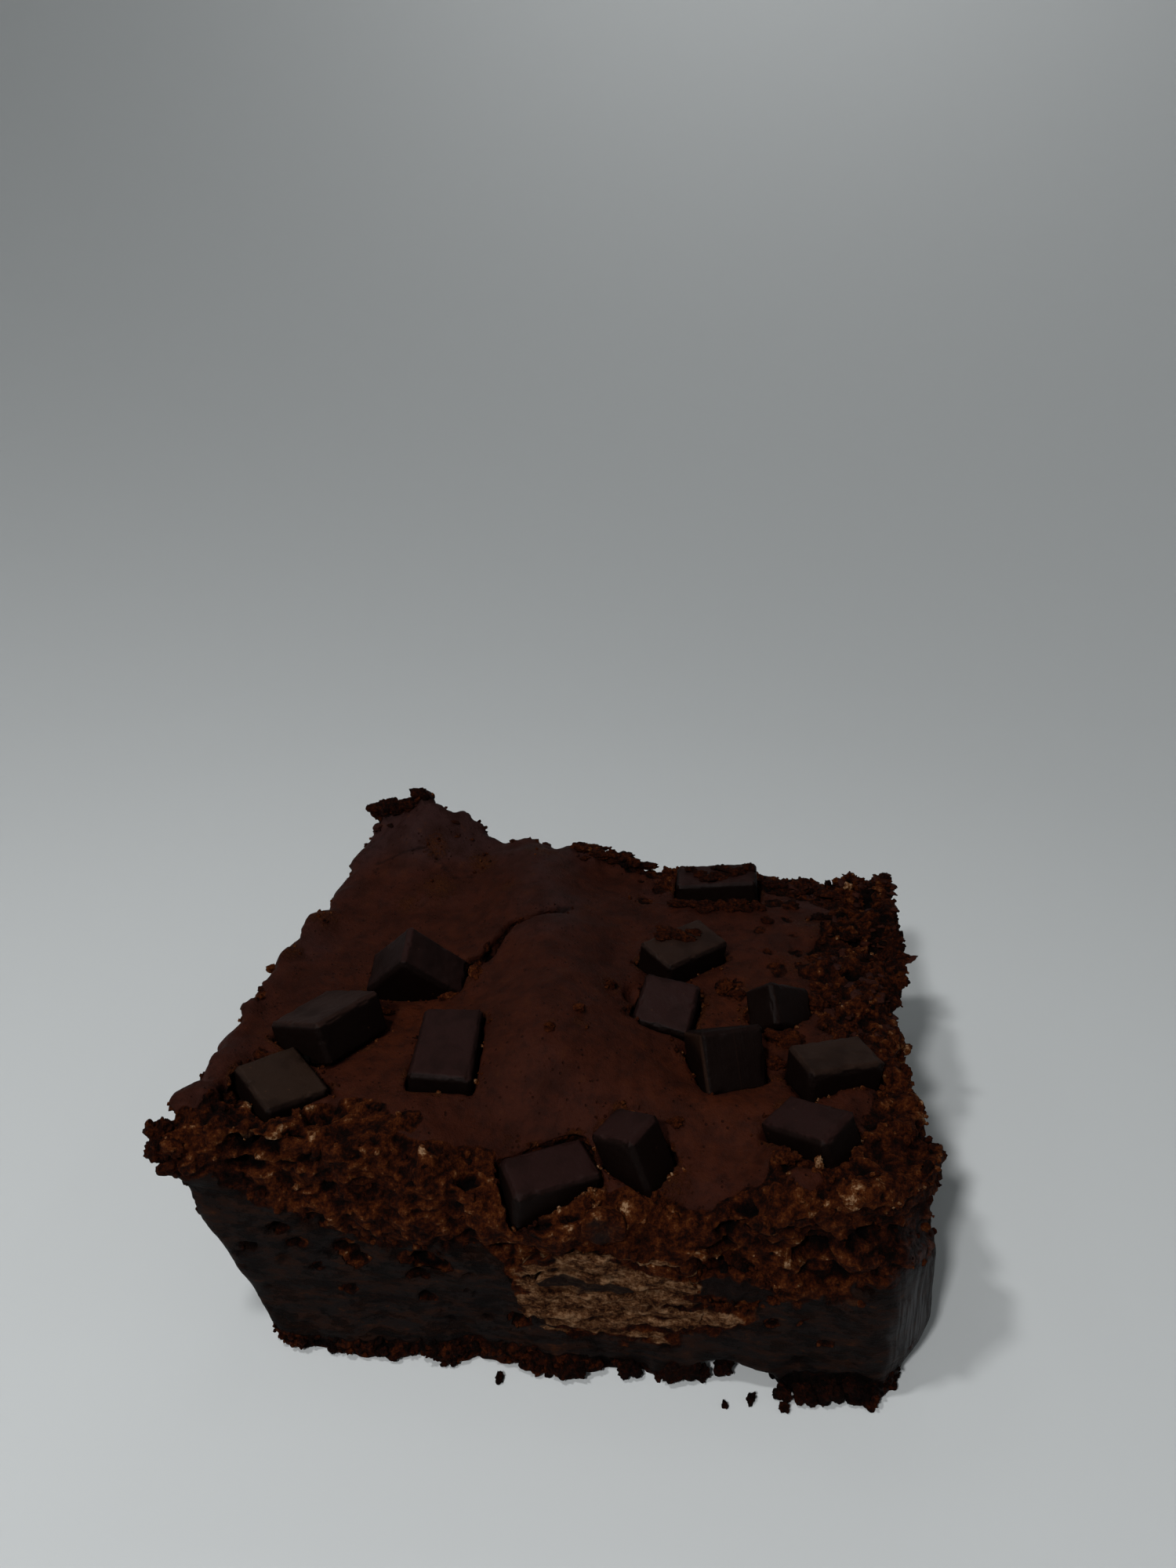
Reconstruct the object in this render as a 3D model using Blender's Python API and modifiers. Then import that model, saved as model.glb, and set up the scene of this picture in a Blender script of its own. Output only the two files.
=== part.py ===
"""A thick square of triple chocolate chunk brownie, cut on all four sides.

The crumb is one solid: it has a smooth baked skin on top that swells into a mound, a torn back
left corner that stands up, crumbly edges, and a front that a knife has smeared. Square-cut
chocolate chunks sit in pockets in the skin, and the front cut runs through a few more of them.

Lengths below are in millimetres and angles in degrees. +X runs along the front to the right,
+Y away from the front, +Z up, and the origin lies under the middle of the brownie at its foot.
"""

import math
import random

import bmesh
import bpy
from mathutils import Euler, Matrix, Vector, noise

MM = 0.001

# Driving dimensions of the brownie
LENGTH = 75.0
WIDTH = 62.0
RIM_HEIGHT = 26.0
EDGE_RADIUS = 1.6
CELLS = (38, 32, 13)

# How far the four cut sides stray from upright between the foot and the rim
LEFT_TAPER = 9.0
LEFT_TAPER_TOP = 19.0
LEFT_BACK_DRAWN_IN = 1.7
FRONT_LEAN = 2.1
RIGHT_TUCK = 2.6
RIGHT_TUCK_TOP = 9.0
RIGHT_FLARE = 2.2
BACK_LEAN = 1.2
SIDE_SHARE = 3.0
CORNER_CUT_START = 34.6
CORNER_CUT_SLOPE = 0.85

# The mound that runs from the raised corner to the middle of the front
MOUND_HEIGHT = 4.0
MOUND_HALF_WIDTH = 7.6
MOUND_FRONT = (-1.0, -25.0)
MOUND_SWEEP = 0.0036
MOUND_END = (-25.0, -14.0)

# Smooth swells and dips of the top: place, reach along X and Y, and height
TOP_SWELLS = (
    ((-27.4, 35.0), (8.5, 12.0), 11.0),
    ((-17.0, 34.0), (3.0, 5.0), -2.2),
    ((29.0, 33.0), (11.0, 9.0), -2.0),
    ((36.0, 31.5), (2.6, 3.6), 2.4),
    ((-22.0, -6.0), (7.0, 10.0), -1.7),
    ((18.0, -14.0), (9.0, 10.0), -1.4),
)
LEFT_RIM_RISE = 1.3
LEFT_RIM_X = -38.0
LEFT_RIM_REACH = 4.5

# The dip in the front edge, between two stretches where it rises, in two steps down
FRONT_DIP_RISES = ((-15.0, -3.0), (16.0, 26.0))
FRONT_DIP_STEPS = (((-25.5, -18.5), 3.4), ((-32.0, -25.0), 2.4))
FACE_BULGE = 1.8
FACE_BULGE_PLACE = (0.5, 20.0)
FACE_BULGE_REACH = (12.0, 7.0)

# How high the knife has smeared the front cut: in the middle, and more at both ends
SMEAR_HEIGHT = 13.2
SMEAR_RISE_LEFT = 4.2
SMEAR_RISE_RIGHT = 3.4

# Where the skin of the top gives way to torn crumb, and how rough each surface is
SKIN_DEPTH = (3.0, 1.2)
TORN_RIGHT = (27.0, 32.0)
TORN_BACK = (25.5, 29.5)
TORN_FRONT = (-30.5, -26.5)
TORN_LEFT = (-36.5, -34.0)
FOOT_BAND = (1.0, 3.2)
SKIN_ROUGHNESS = 0.18
TORN_TOP_ROUGHNESS = 0.62
SMEARED_ROUGHNESS = 0.25
TORN_SIDE_ROUGHNESS = 0.75
FOOT_ROUGHNESS = 0.4

# The crumb relief: wave length and height of each layer, and of the swell under them all
COARSE_CRUMB = (5.2, 2.6)
FINE_CRUMB = (2.6, 1.9)
LONG_SWELL = (14.0, 0.4)

# The gap that is left round every chunk, and how far its corners stray from square
GAP = 0.3
CHUNK_WOBBLE = 0.35
CHUNK_BEVEL = 0.45

# Chunks in the top: node name, centre, size along their own axes, and turn about X, Y and Z
TOP_CHUNKS = (
    ("chunk_roof", (-19.9, -1.6, 25.8), (9.4, 6.1, 8.0), (22, 41, 20)),
    ("chunk_left_slab", (-27.1, -13.4, 26.4), (9.4, 8.6, 5.2), (-19, 4, 63)),
    ("chunk_left_front", (-29.2, -23.0, 24.8), (7.3, 8.2, 4.2), (8, 6, 48)),
    ("chunk_left_flat", (-12.6, -16.4, 25.7), (6.8, 10.9, 5.1), (6, 1, 4)),
    ("chunk_right_back", (12.2, 5.4, 26.3), (10.0, 5.9, 5.7), (7, 1, 45)),
    ("chunk_right_left", (10.9, -4.5, 25.3), (6.7, 6.9, 4.9), (25, 3, -11)),
    ("chunk_standing", (17.8, -12.1, 25.0), (7.4, 6.8, 6.0), (58, 3, 22)),
    ("chunk_leaning", (24.1, -2.7, 25.4), (6.9, 5.2, 4.7), (46, 27, 37)),
    ("chunk_right_middle", (29.4, -13.8, 25.9), (8.9, 5.6, 4.6), (-2, 5, 25)),
    ("chunk_right_front", (26.6, -23.1, 24.8), (5.4, 8.3, 4.8), (-20, -6, 52)),
    ("chunk_front_flat", (0.4, -28.2, 20.7), (9.2, 5.7, 4.6), (6, 2, 30)),
    ("chunk_front_block", (8.9, -25.6, 22.9), (4.9, 5.6, 7.4), (-20, -5, 59)),
    ("chunk_back_edge", (16.3, 24.6, 25.9), (11.2, 5.6, 5.0), (1, -6, 1)),
)

# Chunks that the front cut runs through: node name, middle along X and Z, half length,
# half height, depth into the crumb, and how ragged the outline is
MILK_POCKET = ("milk_pocket", (6.7, 10.4), 9.0, 5.0, 4.5, 0.18)
CUT_PIECES = (
    ("cut_dark_piece", (19.8, 12.6), 3.5, 1.6, 5.0, 0.10),
    ("cut_small_piece", (6.5, 19.7), 1.7, 1.2, 1.6, 0.08),
)
SLIVER = ("cut_dark_sliver", (4.6, 12.0), 4.6, 0.95, 2.4, 0.12)
OUTLINE_POINTS = 24
CUT_TAPER = 0.28

# The crack in the skin: points along it with its half width there
CRACK = (
    ((-15.6, -0.6), 1.5),
    ((-14.0, 1.2), 1.4),
    ((-12.2, 2.2), 1.1),
    ((-11.2, 5.4), 0.8),
    ((-10.0, 7.8), 0.7),
    ((-6.3, 9.0), 0.55),
    ((-3.0, 10.8), 0.4),
)
CRACK_DEPTH = 3.2

# Lumps of crumb that stand out from the edges: centre and half sizes
LUMPS = (
    ((-37.4, -31.0, 24.6), (2.7, 2.3, 1.6)),
    ((-39.0, -31.8, 26.4), (0.9, 1.0, 1.5)),
    ((-37.2, -27.4, 26.9), (2.3, 2.4, 1.2)),
    ((-36.2, -31.2, 21.4), (1.7, 1.4, 1.6)),
    ((-37.0, -11.0, 26.2), (1.5, 2.4, 1.1)),
    ((2.0, -33.0, 1.2), (4.0, 1.5, 1.7)),
    ((14.3, -31.8, 2.2), (2.0, 1.7, 2.6)),
    ((28.8, -31.8, 1.7), (4.4, 1.8, 2.0)),
    ((32.6, -31.2, 2.4), (2.4, 1.7, 2.0)),
    ((31.0, -30.6, 25.3), (3.4, 1.6, 1.5)),
    ((37.0, -17.6, 25.0), (1.5, 3.2, 1.3)),
    ((37.8, -26.6, 21.2), (1.0, 1.8, 1.6)),
    ((-33.0, 30.6, 31.4), (2.8, 1.4, 1.6)),
    ((-27.2, 30.8, 34.8), (2.0, 1.3, 1.4)),
    ((-21.5, 31.0, 31.6), (1.6, 1.2, 1.5)),
    ((-2.6, 30.2, 28.0), (4.6, 1.5, 1.1)),
    ((27.0, 29.6, 24.6), (4.2, 2.0, 0.7)),
    ((30.0, 30.8, 23.6), (5.0, 1.3, 0.7)),
)
LUMP_ROUGHNESS = 0.45

# The fringe of crumbs along the foot: how many on each side and how large
FRINGE_COUNTS = {"front": 15, "right": 8, "back": 12, "left": 8}
FRINGE_SIZE = (0.9, 2.1)
FRINGE_SEED = 11
UNDERCUT_ENDS = (8.5, 28.5)

# The slab of side crust that has come away at the back right
FLAP_Y = (2.0, 31.8)
FLAP_Z = (12.0, 26.6)
FLAP_FOOT_X = 34.6
FLAP_TOP_X = 39.8
FLAP_BEND = 1.3
FLAP_THICKNESS = 2.4
FLAP_CELLS = (1, 9, 7)

# Hollows: centre and half sizes
HOLLOWS = (
    ((19.0, -33.6, 0.0), (7.4, 5.2, 3.9)),
    ((-11.6, -32.4, 12.2), (1.7, 1.5, 0.9)),
    ((-19.7, -32.6, 12.0), (1.3, 1.3, 0.7)),
    ((-21.4, -32.8, 7.0), (1.3, 1.3, 0.6)),
    ((-30.5, -31.0, 22.0), (2.6, 1.7, 1.0)),
    ((6.6, -3.4, 27.4), (1.2, 2.6, 2.4)),
)


def smooth_step(low, high, value):
    t = min(max((value - low) / (high - low), 0.0), 1.0)
    return t * t * (3.0 - 2.0 * t)


def swell(x, y, place, reach):
    """A smooth bump of height 1 at place, that dies away over reach."""
    return math.exp(-(((x - place[0]) / reach[0]) ** 2) - ((y - place[1]) / reach[1]) ** 2)


def waves(x, y, z, length, seed=0.0):
    """Smooth, repeatable unevenness between about -1 and 1, with waves of this length."""
    return noise.noise(Vector((x / length + seed, y / length - seed, z / length + 3.7 * seed)))


def top_height(x, y):
    """The height of the top over a point of the plan, before any crumb relief."""
    mound_x, mound_y = MOUND_FRONT
    mound_line = mound_x - MOUND_SWEEP * (y - mound_y) ** 2
    mound = math.exp(-(((x - mound_line) / MOUND_HALF_WIDTH) ** 2))
    height = RIM_HEIGHT + MOUND_HEIGHT * mound * smooth_step(*MOUND_END, y)
    for place, reach, rise in TOP_SWELLS:
        height += rise * swell(x, y, place, reach)
    height += LEFT_RIM_RISE * math.exp(-(((x - LEFT_RIM_X) / LEFT_RIM_REACH) ** 2))
    left_rise, right_rise = FRONT_DIP_RISES
    across = smooth_step(*left_rise, x) * (1.0 - smooth_step(*right_rise, x))
    for ends, drop in FRONT_DIP_STEPS:
        height -= drop * across * (1.0 - smooth_step(*ends, y))
    return height


def smear_top(x):
    """How high the knife has smeared the front cut."""
    left = 1.0 - smooth_step(-32.0, -16.0, x)
    right = smooth_step(29.0, 37.0, x)
    return SMEAR_HEIGHT + SMEAR_RISE_LEFT * left + SMEAR_RISE_RIGHT * right


def face_y(x, z):
    """Where the front cut lies, before any relief."""
    y = -WIDTH / 2.0 - FRONT_LEAN * (1.0 - z / RIM_HEIGHT)
    y -= FACE_BULGE * swell(x, z, FACE_BULGE_PLACE, FACE_BULGE_REACH)
    return y + CORNER_CUT_SLOPE * max(x - CORNER_CUT_START, 0.0)


def roughness(x, y, z):
    """How far the crumb stands in and out here: torn crumb is rough, skin and cuts are not."""
    top = top_height(x, y)
    on_top = smooth_step(top - SKIN_DEPTH[0], top - SKIN_DEPTH[1], z)
    torn_top = max(
        smooth_step(*TORN_RIGHT, x),
        smooth_step(*TORN_BACK, y),
        1.0 - smooth_step(*TORN_FRONT, y),
        1.0 - smooth_step(*TORN_LEFT, x),
    )
    torn_side = smooth_step(-1.5, 2.0, z - smear_top(x))
    foot = 1.0 - smooth_step(*FOOT_BAND, z)
    side = SMEARED_ROUGHNESS + TORN_SIDE_ROUGHNESS * torn_side + FOOT_ROUGHNESS * foot
    return on_top * (SKIN_ROUGHNESS + TORN_TOP_ROUGHNESS * torn_top) + (1.0 - on_top) * side


def rounded(x, y, z):
    """A point of the plain block drawn in to round its upright and top edges."""
    inner = Vector((
        min(max(x, EDGE_RADIUS - LENGTH / 2.0), LENGTH / 2.0 - EDGE_RADIUS),
        min(max(y, EDGE_RADIUS - WIDTH / 2.0), WIDTH / 2.0 - EDGE_RADIUS),
        min(z, RIM_HEIGHT - EDGE_RADIUS),
    ))
    out = Vector((x, y, z)) - inner
    return inner + out.normalized() * min(out.length, EDGE_RADIUS) if out.length > 0.0 else inner


def lean_sides(point):
    """Moves a point of the rounded block to where the leaning cuts put it."""
    x, y, z = point
    up = z / RIM_HEIGHT
    z = up * top_height(x, y)
    to_left = ((LENGTH / 2.0 - x) / LENGTH) ** SIDE_SHARE
    to_right = ((x + LENGTH / 2.0) / LENGTH) ** SIDE_SHARE
    to_front = ((WIDTH / 2.0 - y) / WIDTH) ** SIDE_SHARE
    to_back = ((y + WIDTH / 2.0) / WIDTH) ** SIDE_SHARE
    moved_x = x + LEFT_TAPER * to_left * max(1.0 - z / LEFT_TAPER_TOP, 0.0)
    moved_x += LEFT_BACK_DRAWN_IN * to_left * smooth_step(2.0, 28.0, y)
    moved_x -= RIGHT_TUCK * to_right * max(1.0 - z / RIGHT_TUCK_TOP, 0.0) ** 2
    moved_x += RIGHT_FLARE * to_right * (1.0 - smooth_step(-31.0, -8.0, y))
    moved_y = y + (face_y(moved_x, z) + WIDTH / 2.0) * to_front
    moved_y += BACK_LEAN * to_back * (1.0 - up)
    return Vector((moved_x, moved_y, z))


def cell_block(cells):
    """A unit cube, cut into cells along X, Y and Z."""
    bm = bmesh.new()
    bmesh.ops.create_cube(bm, size=1.0)
    for axis, count in enumerate(cells):
        if count < 2:
            continue
        along = [e for e in bm.edges if abs((e.verts[0].co - e.verts[1].co)[axis]) > 1e-6]
        bmesh.ops.subdivide_edges(bm, edges=along, cuts=count - 1, use_grid_fill=True)
    return bm


def add_crumb(bm):
    """Pushes the surface in and out along its own direction, but keeps the foot level."""
    bm.normal_update()
    shifts = []
    for vert in bm.verts:
        x, y, z = vert.co
        coarse = COARSE_CRUMB[1] * waves(x, y, z, COARSE_CRUMB[0])
        fine = FINE_CRUMB[1] * waves(x, y, z, FINE_CRUMB[0], seed=5.0)
        push = roughness(x, y, z) * (coarse + fine)
        push += LONG_SWELL[1] * waves(x, y, z, LONG_SWELL[0], seed=9.0)
        shift = vert.normal * push
        if z < 0.01:
            shift.z = 0.0
            shift *= 1.0 if vert.normal.z > -0.95 else 0.0
        else:
            shift.z *= smooth_step(0.0, 2.0, z)
        shifts.append(shift)
    for vert, shift in zip(bm.verts, shifts):
        vert.co += shift


def object_from(bm, name, material, collection):
    """A new object in metres from a mesh in millimetres."""
    bm.transform(Matrix.Scale(MM, 4))
    mesh = bpy.data.meshes.new(name)
    bm.to_mesh(mesh)
    bm.free()
    if material:
        mesh.materials.append(material)
    obj = bpy.data.objects.new(name, mesh)
    collection.objects.link(obj)
    return obj


def helper_from(bm, name, collection):
    """A cutter or a lump: it shapes the brownie and isn't part of it."""
    helper = object_from(bm, name, None, collection)
    helper.hide_render = True
    helper.display_type = "WIRE"
    return helper


def crumb_block(collection, material):
    """The brownie itself, before its pockets are cut."""
    bm = cell_block(CELLS)
    for vert in bm.verts:
        x, y, z = vert.co
        block_point = rounded(x * LENGTH, y * WIDTH, (z + 0.5) * RIM_HEIGHT)
        vert.co = lean_sides(block_point)
    add_crumb(bm)
    foot = [f for f in bm.faces if all(v.co.z < 1e-4 for v in f.verts)]
    bmesh.ops.dissolve_faces(bm, faces=foot)
    return object_from(bm, "brownie", material, collection)


def blob(centre, half_sizes, roughness_share):
    """A sphere drawn out to these half sizes, with its surface pushed in and out."""
    bm = bmesh.new()
    bmesh.ops.create_icosphere(bm, subdivisions=1, radius=1.0)
    for vert in bm.verts:
        x, y, z = (c * h for c, h in zip(vert.co, half_sizes))
        stretch = 1.0 + roughness_share * waves(x, y, z, 2.2, seed=centre[0])
        vert.co = Vector(centre) + Vector((x, y, z)) * stretch
    return bm


def lump(index, centre, half_sizes, collection):
    """A lump of crumb, flat where it would pass the foot's level."""
    bm = blob(centre, half_sizes, LUMP_ROUGHNESS)
    for vert in bm.verts:
        vert.co.z = max(vert.co.z, 0.0)
    bmesh.ops.dissolve_degenerate(bm, dist=1e-4, edges=bm.edges)
    return helper_from(bm, f"lump_{index}", collection)


def foot_point(side, share):
    """A point of the foot's outline, and the block's own coordinates give it."""
    across = (2.0 * share - 1.0) * 0.93
    plan = {
        "front": (across * LENGTH / 2.0, -WIDTH / 2.0),
        "right": (LENGTH / 2.0, across * WIDTH / 2.0),
        "back": (across * LENGTH / 2.0, WIDTH / 2.0),
        "left": (-LENGTH / 2.0, across * WIDTH / 2.0),
    }
    return lean_sides(Vector((*plan[side], 0.0)))


def fringe(collection):
    """Crumbs of uneven size along the foot, each sunk halfway into the brownie."""
    draw = random.Random(FRINGE_SEED)
    for side, count in FRINGE_COUNTS.items():
        for index in range(count):
            share = (index + draw.uniform(0.2, 0.8)) / count
            place = foot_point(side, share)
            size = draw.uniform(*FRINGE_SIZE)
            if side == "front" and UNDERCUT_ENDS[0] < place.x < UNDERCUT_ENDS[1]:
                continue
            inward = Vector((-place.x, -place.y, 0.0)).normalized() * 0.35 * size
            centre = place + inward + Vector((0.0, 0.0, 0.45 * size))
            half_sizes = (size * draw.uniform(1.0, 1.6), size, size * draw.uniform(0.7, 1.0))
            lump(f"{side}_{index}", centre, half_sizes, collection)


def hollow(index, centre, half_sizes, collection):
    return helper_from(blob(centre, half_sizes, 0.2), f"hollow_{index}", collection)


def flap(collection):
    """The slab of side crust: its foot is part of the side and its top stands away from it."""
    bm = cell_block(FLAP_CELLS)
    low_y, high_y = FLAP_Y
    low_z, high_z = FLAP_Z
    for vert in bm.verts:
        side, along, up = vert.co.x, vert.co.y + 0.5, vert.co.z + 0.5
        y = low_y + (high_y - low_y) * along
        ragged = 0.9 * waves(y, 0.0, 0.0, 3.4, seed=2.0)
        drop = 2.5 * (1.0 - smooth_step(0.0, 0.3, along))
        z = low_z + (high_z - drop - low_z) * up + ragged * smooth_step(0.6, 1.0, up)
        stand = FLAP_FOOT_X + (FLAP_TOP_X - FLAP_FOOT_X) * up ** FLAP_BEND
        stand -= 1.6 * (1.0 - smooth_step(0.0, 0.35, along))
        thickness = FLAP_THICKNESS * (1.0 + 0.25 * waves(0.0, y, z, 4.0, seed=7.0))
        x = stand + side * thickness + 0.3 * waves(0.0, y, z, 7.0, seed=4.0)
        vert.co = (x, y, z)
    return helper_from(bm, "flap", collection)


def crack(collection):
    """A cutter that follows the crack, wide at the skin and closing below it."""
    bm = cell_block((len(CRACK) - 1, 1, 1))
    for vert in bm.verts:
        step = round((vert.co.x + 0.5) * (len(CRACK) - 1))
        (x, y), half_width = CRACK[step]
        before = Vector(CRACK[max(step - 1, 0)][0])
        after = Vector(CRACK[min(step + 1, len(CRACK) - 1)][0])
        across = (after - before).normalized()
        across = Vector((-across.y, across.x))
        top = top_height(x, y)
        at_skin = vert.co.z > 0.0
        reach = half_width * (1.6 if at_skin else 0.35) * (1.0 if vert.co.y > 0.0 else -1.0)
        z = top + 1.6 if at_skin else top - CRACK_DEPTH
        vert.co = (x + across.x * reach, y + across.y * reach, z)
    return helper_from(bm, "crack", collection)


def chunk_block(name, size, spare):
    """A square-cut chunk with its corners a little out of place, larger all round by spare."""
    bm = bmesh.new()
    bmesh.ops.create_cube(bm, size=1.0)
    seed = sum(ord(letter) for letter in name) * 0.37
    for vert in bm.verts:
        signs = [math.copysign(1.0, c) for c in vert.co]
        for axis in range(3):
            stray = CHUNK_WOBBLE * waves(*(3.1 * s for s in signs), 1.7, seed=seed + axis)
            vert.co[axis] = signs[axis] * (size[axis] / 2.0 + spare) + stray
    return bm


def place_in_turn(obj, centre, turn):
    obj.location = Vector(centre) * MM
    obj.rotation_euler = Euler([math.radians(angle) for angle in turn], "XYZ")
    return obj


def top_chunk(name, centre, size, turn, material, collection):
    chunk = object_from(chunk_block(name, size, 0.0), name, material, collection)
    bevel = chunk.modifiers.new("worn_edges", "BEVEL")
    bevel.width = CHUNK_BEVEL * MM
    bevel.segments = 1
    return place_in_turn(chunk, centre, turn)


def top_pocket(name, centre, size, turn, collection):
    return place_in_turn(
        helper_from(chunk_block(name, size, GAP), f"pocket_{name}", collection), centre, turn
    )


def cut_outline(angle, half_length, half_height, ragged, seed):
    """A point of the outline of a chunk that the knife went through: a soft, uneven oblong."""
    c, s = math.cos(angle), math.sin(angle)
    reach = (abs(c) ** 3.0 + abs(s) ** 3.0) ** (-1.0 / 3.0)
    reach *= 1.0 + ragged * waves(2.2 * c, 2.2 * s, 0.0, 1.0, seed=seed)
    return c * reach * half_length, s * reach * half_height


def cut_block(piece, spare=0.0, reach_out=0.0):
    """An oblong plug along Y whose front end follows the cut, larger all round by spare."""
    name, (mid_x, mid_z), half_length, half_height, depth, ragged = piece
    seed = len(name) * 1.3
    bm = bmesh.new()
    bmesh.ops.create_cone(
        bm, cap_ends=True, segments=OUTLINE_POINTS, radius1=1.0, radius2=1.0, depth=1.0
    )
    for vert in bm.verts:
        angle = math.atan2(vert.co.y, vert.co.x)
        ahead = reach_out if vert.co.z > 0.0 else -(depth + spare)
        taper = 1.0 + CUT_TAPER * ahead / depth
        x, z = cut_outline(
            angle, half_length * taper + spare, half_height * taper + spare, ragged, seed
        )
        x, z = mid_x + x, mid_z + z
        vert.co = (x, face_y(x, z) - ahead, z)
    return bm


def cut_pocket(piece, collection):
    return helper_from(cut_block(piece, GAP, reach_out=3.0), f"pocket_{piece[0]}", collection)


def boolean(obj, name, operation, collection):
    modifier = obj.modifiers.new(name, "BOOLEAN")
    modifier.operation = operation
    modifier.solver = "EXACT"
    modifier.operand_type = "COLLECTION"
    modifier.collection = collection
    return modifier


def apply_modifiers(obj):
    """Makes the shape that the modifiers give the object's own mesh."""
    bpy.context.view_layer.update()
    graph = bpy.context.evaluated_depsgraph_get()
    mesh = bpy.data.meshes.new_from_object(obj.evaluated_get(graph))
    obj.modifiers.clear()
    obj.data = mesh
    mesh.name = obj.name


def keep_one_body(obj):
    """Fills the hollows that fusing sealed and drops loose scraps: only the largest shell stays."""
    bm = bmesh.new()
    bm.from_mesh(obj.data)
    seen = set()
    shells = []
    for first in bm.faces:
        if first in seen:
            continue
        seen.add(first)
        shell = [first]
        for face in shell:
            for edge in face.edges:
                for beside in edge.link_faces:
                    if beside not in seen:
                        seen.add(beside)
                        shell.append(beside)
        shells.append(shell)
    shells.sort(key=len)
    loose = [face for shell in shells[:-1] for face in shell]
    bmesh.ops.delete(bm, geom=loose, context="FACES")
    bm.to_mesh(obj.data)
    bm.free()


def new_collection(name):
    collection = bpy.data.collections.new(name)
    bpy.context.scene.collection.children.link(collection)
    return collection


def remove_collection(collection):
    for obj in list(collection.objects):
        bpy.data.objects.remove(obj)
    bpy.data.collections.remove(collection)


def food_material(name, colour, surface_roughness):
    material = bpy.data.materials.new(name)
    material.use_nodes = True
    shader = material.node_tree.nodes["Principled BSDF"]
    shader.inputs["Base Color"].default_value = (*colour, 1.0)
    shader.inputs["Roughness"].default_value = surface_roughness
    shader.inputs["Metallic"].default_value = 0.0
    return material


def build():
    for obj in list(bpy.data.objects):
        bpy.data.objects.remove(obj)
    crumb = food_material("brownie_crumb", (0.085, 0.030, 0.016), 0.75)
    dark = food_material("dark_chocolate", (0.040, 0.022, 0.018), 0.42)
    milk = food_material("milk_chocolate", (0.230, 0.115, 0.062), 0.60)
    parts = new_collection("chocolate_chunk_brownie")
    added = new_collection("added_crumb")
    hollows = new_collection("hollows")
    pockets = new_collection("pockets")
    slot = new_collection("sliver_slot")

    brownie = crumb_block(parts, crumb)
    for index, (centre, half_sizes) in enumerate(HOLLOWS):
        hollow(index, centre, half_sizes, hollows)
    crack(hollows)
    boolean(brownie, "hollows", "DIFFERENCE", hollows)
    for index, (centre, half_sizes) in enumerate(LUMPS):
        lump(index, centre, half_sizes, added)
    fringe(added)
    flap(added)
    boolean(brownie, "added_crumb", "UNION", added)
    for chunk in TOP_CHUNKS:
        top_chunk(*chunk, dark, parts)
        top_pocket(*chunk, pockets)
    for piece in CUT_PIECES:
        object_from(cut_block(piece), piece[0], dark, parts)
        cut_pocket(piece, pockets)
    cut_pocket(MILK_POCKET, pockets)
    boolean(brownie, "pockets", "DIFFERENCE", pockets)

    milk_pocket = object_from(cut_block(MILK_POCKET), MILK_POCKET[0], milk, parts)
    object_from(cut_block(SLIVER), SLIVER[0], dark, parts)
    cut_pocket(SLIVER, slot)
    boolean(milk_pocket, "sliver_slot", "DIFFERENCE", slot)

    apply_modifiers(brownie)
    keep_one_body(brownie)
    apply_modifiers(milk_pocket)
    for collection in (added, hollows, pockets, slot):
        remove_collection(collection)
    brownie.data.set_sharp_from_angle(angle=math.radians(60.0))


build()
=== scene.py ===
# %% [markdown]
# # A triple chocolate chunk brownie
#
# The solids of this brownie are already made: a crumb with pockets in it, the chocolate chunks
# that sit in the pockets, and the pieces of chocolate that the knife went through. This lesson
# dresses them. It gives the crumb its fine relief, works out where skin, torn crumb and
# knife-smeared crumb lie, and paints each of them with nodes, so that nothing is read from disk.

# %% Load the solids
import math

import bmesh
import bpy
import numpy as np
from mathutils import Matrix, Vector, noise
from mathutils.bvhtree import BVHTree


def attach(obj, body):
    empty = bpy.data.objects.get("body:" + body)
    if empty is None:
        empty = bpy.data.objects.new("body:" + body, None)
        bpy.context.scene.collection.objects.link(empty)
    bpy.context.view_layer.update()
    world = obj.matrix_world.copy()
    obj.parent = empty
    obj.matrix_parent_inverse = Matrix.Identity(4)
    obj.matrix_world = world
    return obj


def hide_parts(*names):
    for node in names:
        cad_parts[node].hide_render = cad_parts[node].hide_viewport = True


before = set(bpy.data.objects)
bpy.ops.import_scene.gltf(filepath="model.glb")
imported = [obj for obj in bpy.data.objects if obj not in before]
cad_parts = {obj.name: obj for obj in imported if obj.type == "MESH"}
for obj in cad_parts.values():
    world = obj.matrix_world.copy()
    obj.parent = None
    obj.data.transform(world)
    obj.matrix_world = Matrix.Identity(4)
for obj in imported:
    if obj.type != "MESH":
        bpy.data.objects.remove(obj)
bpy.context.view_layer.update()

# %% [markdown]
# ## The camera
#
# The photograph was taken close up, from the front and well above the brownie, with a wide lens.
# Closeness matters more than it seems: it is why the front face looks so much larger than the
# back edge. A camera can be made to track an object, but here its place and its direction were
# measured, so two angles say all of it: a turn about Z and a tilt below the horizon.

# %% Place the camera
MM = 0.001
CAMERA_PLACE = Vector((14.6, -111.0, 102.0)) * MM
CAMERA_TILT = math.radians(24.0)
CAMERA_TURN = math.radians(7.0)
LENS = 24.97
SENSOR = 36.0


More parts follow.
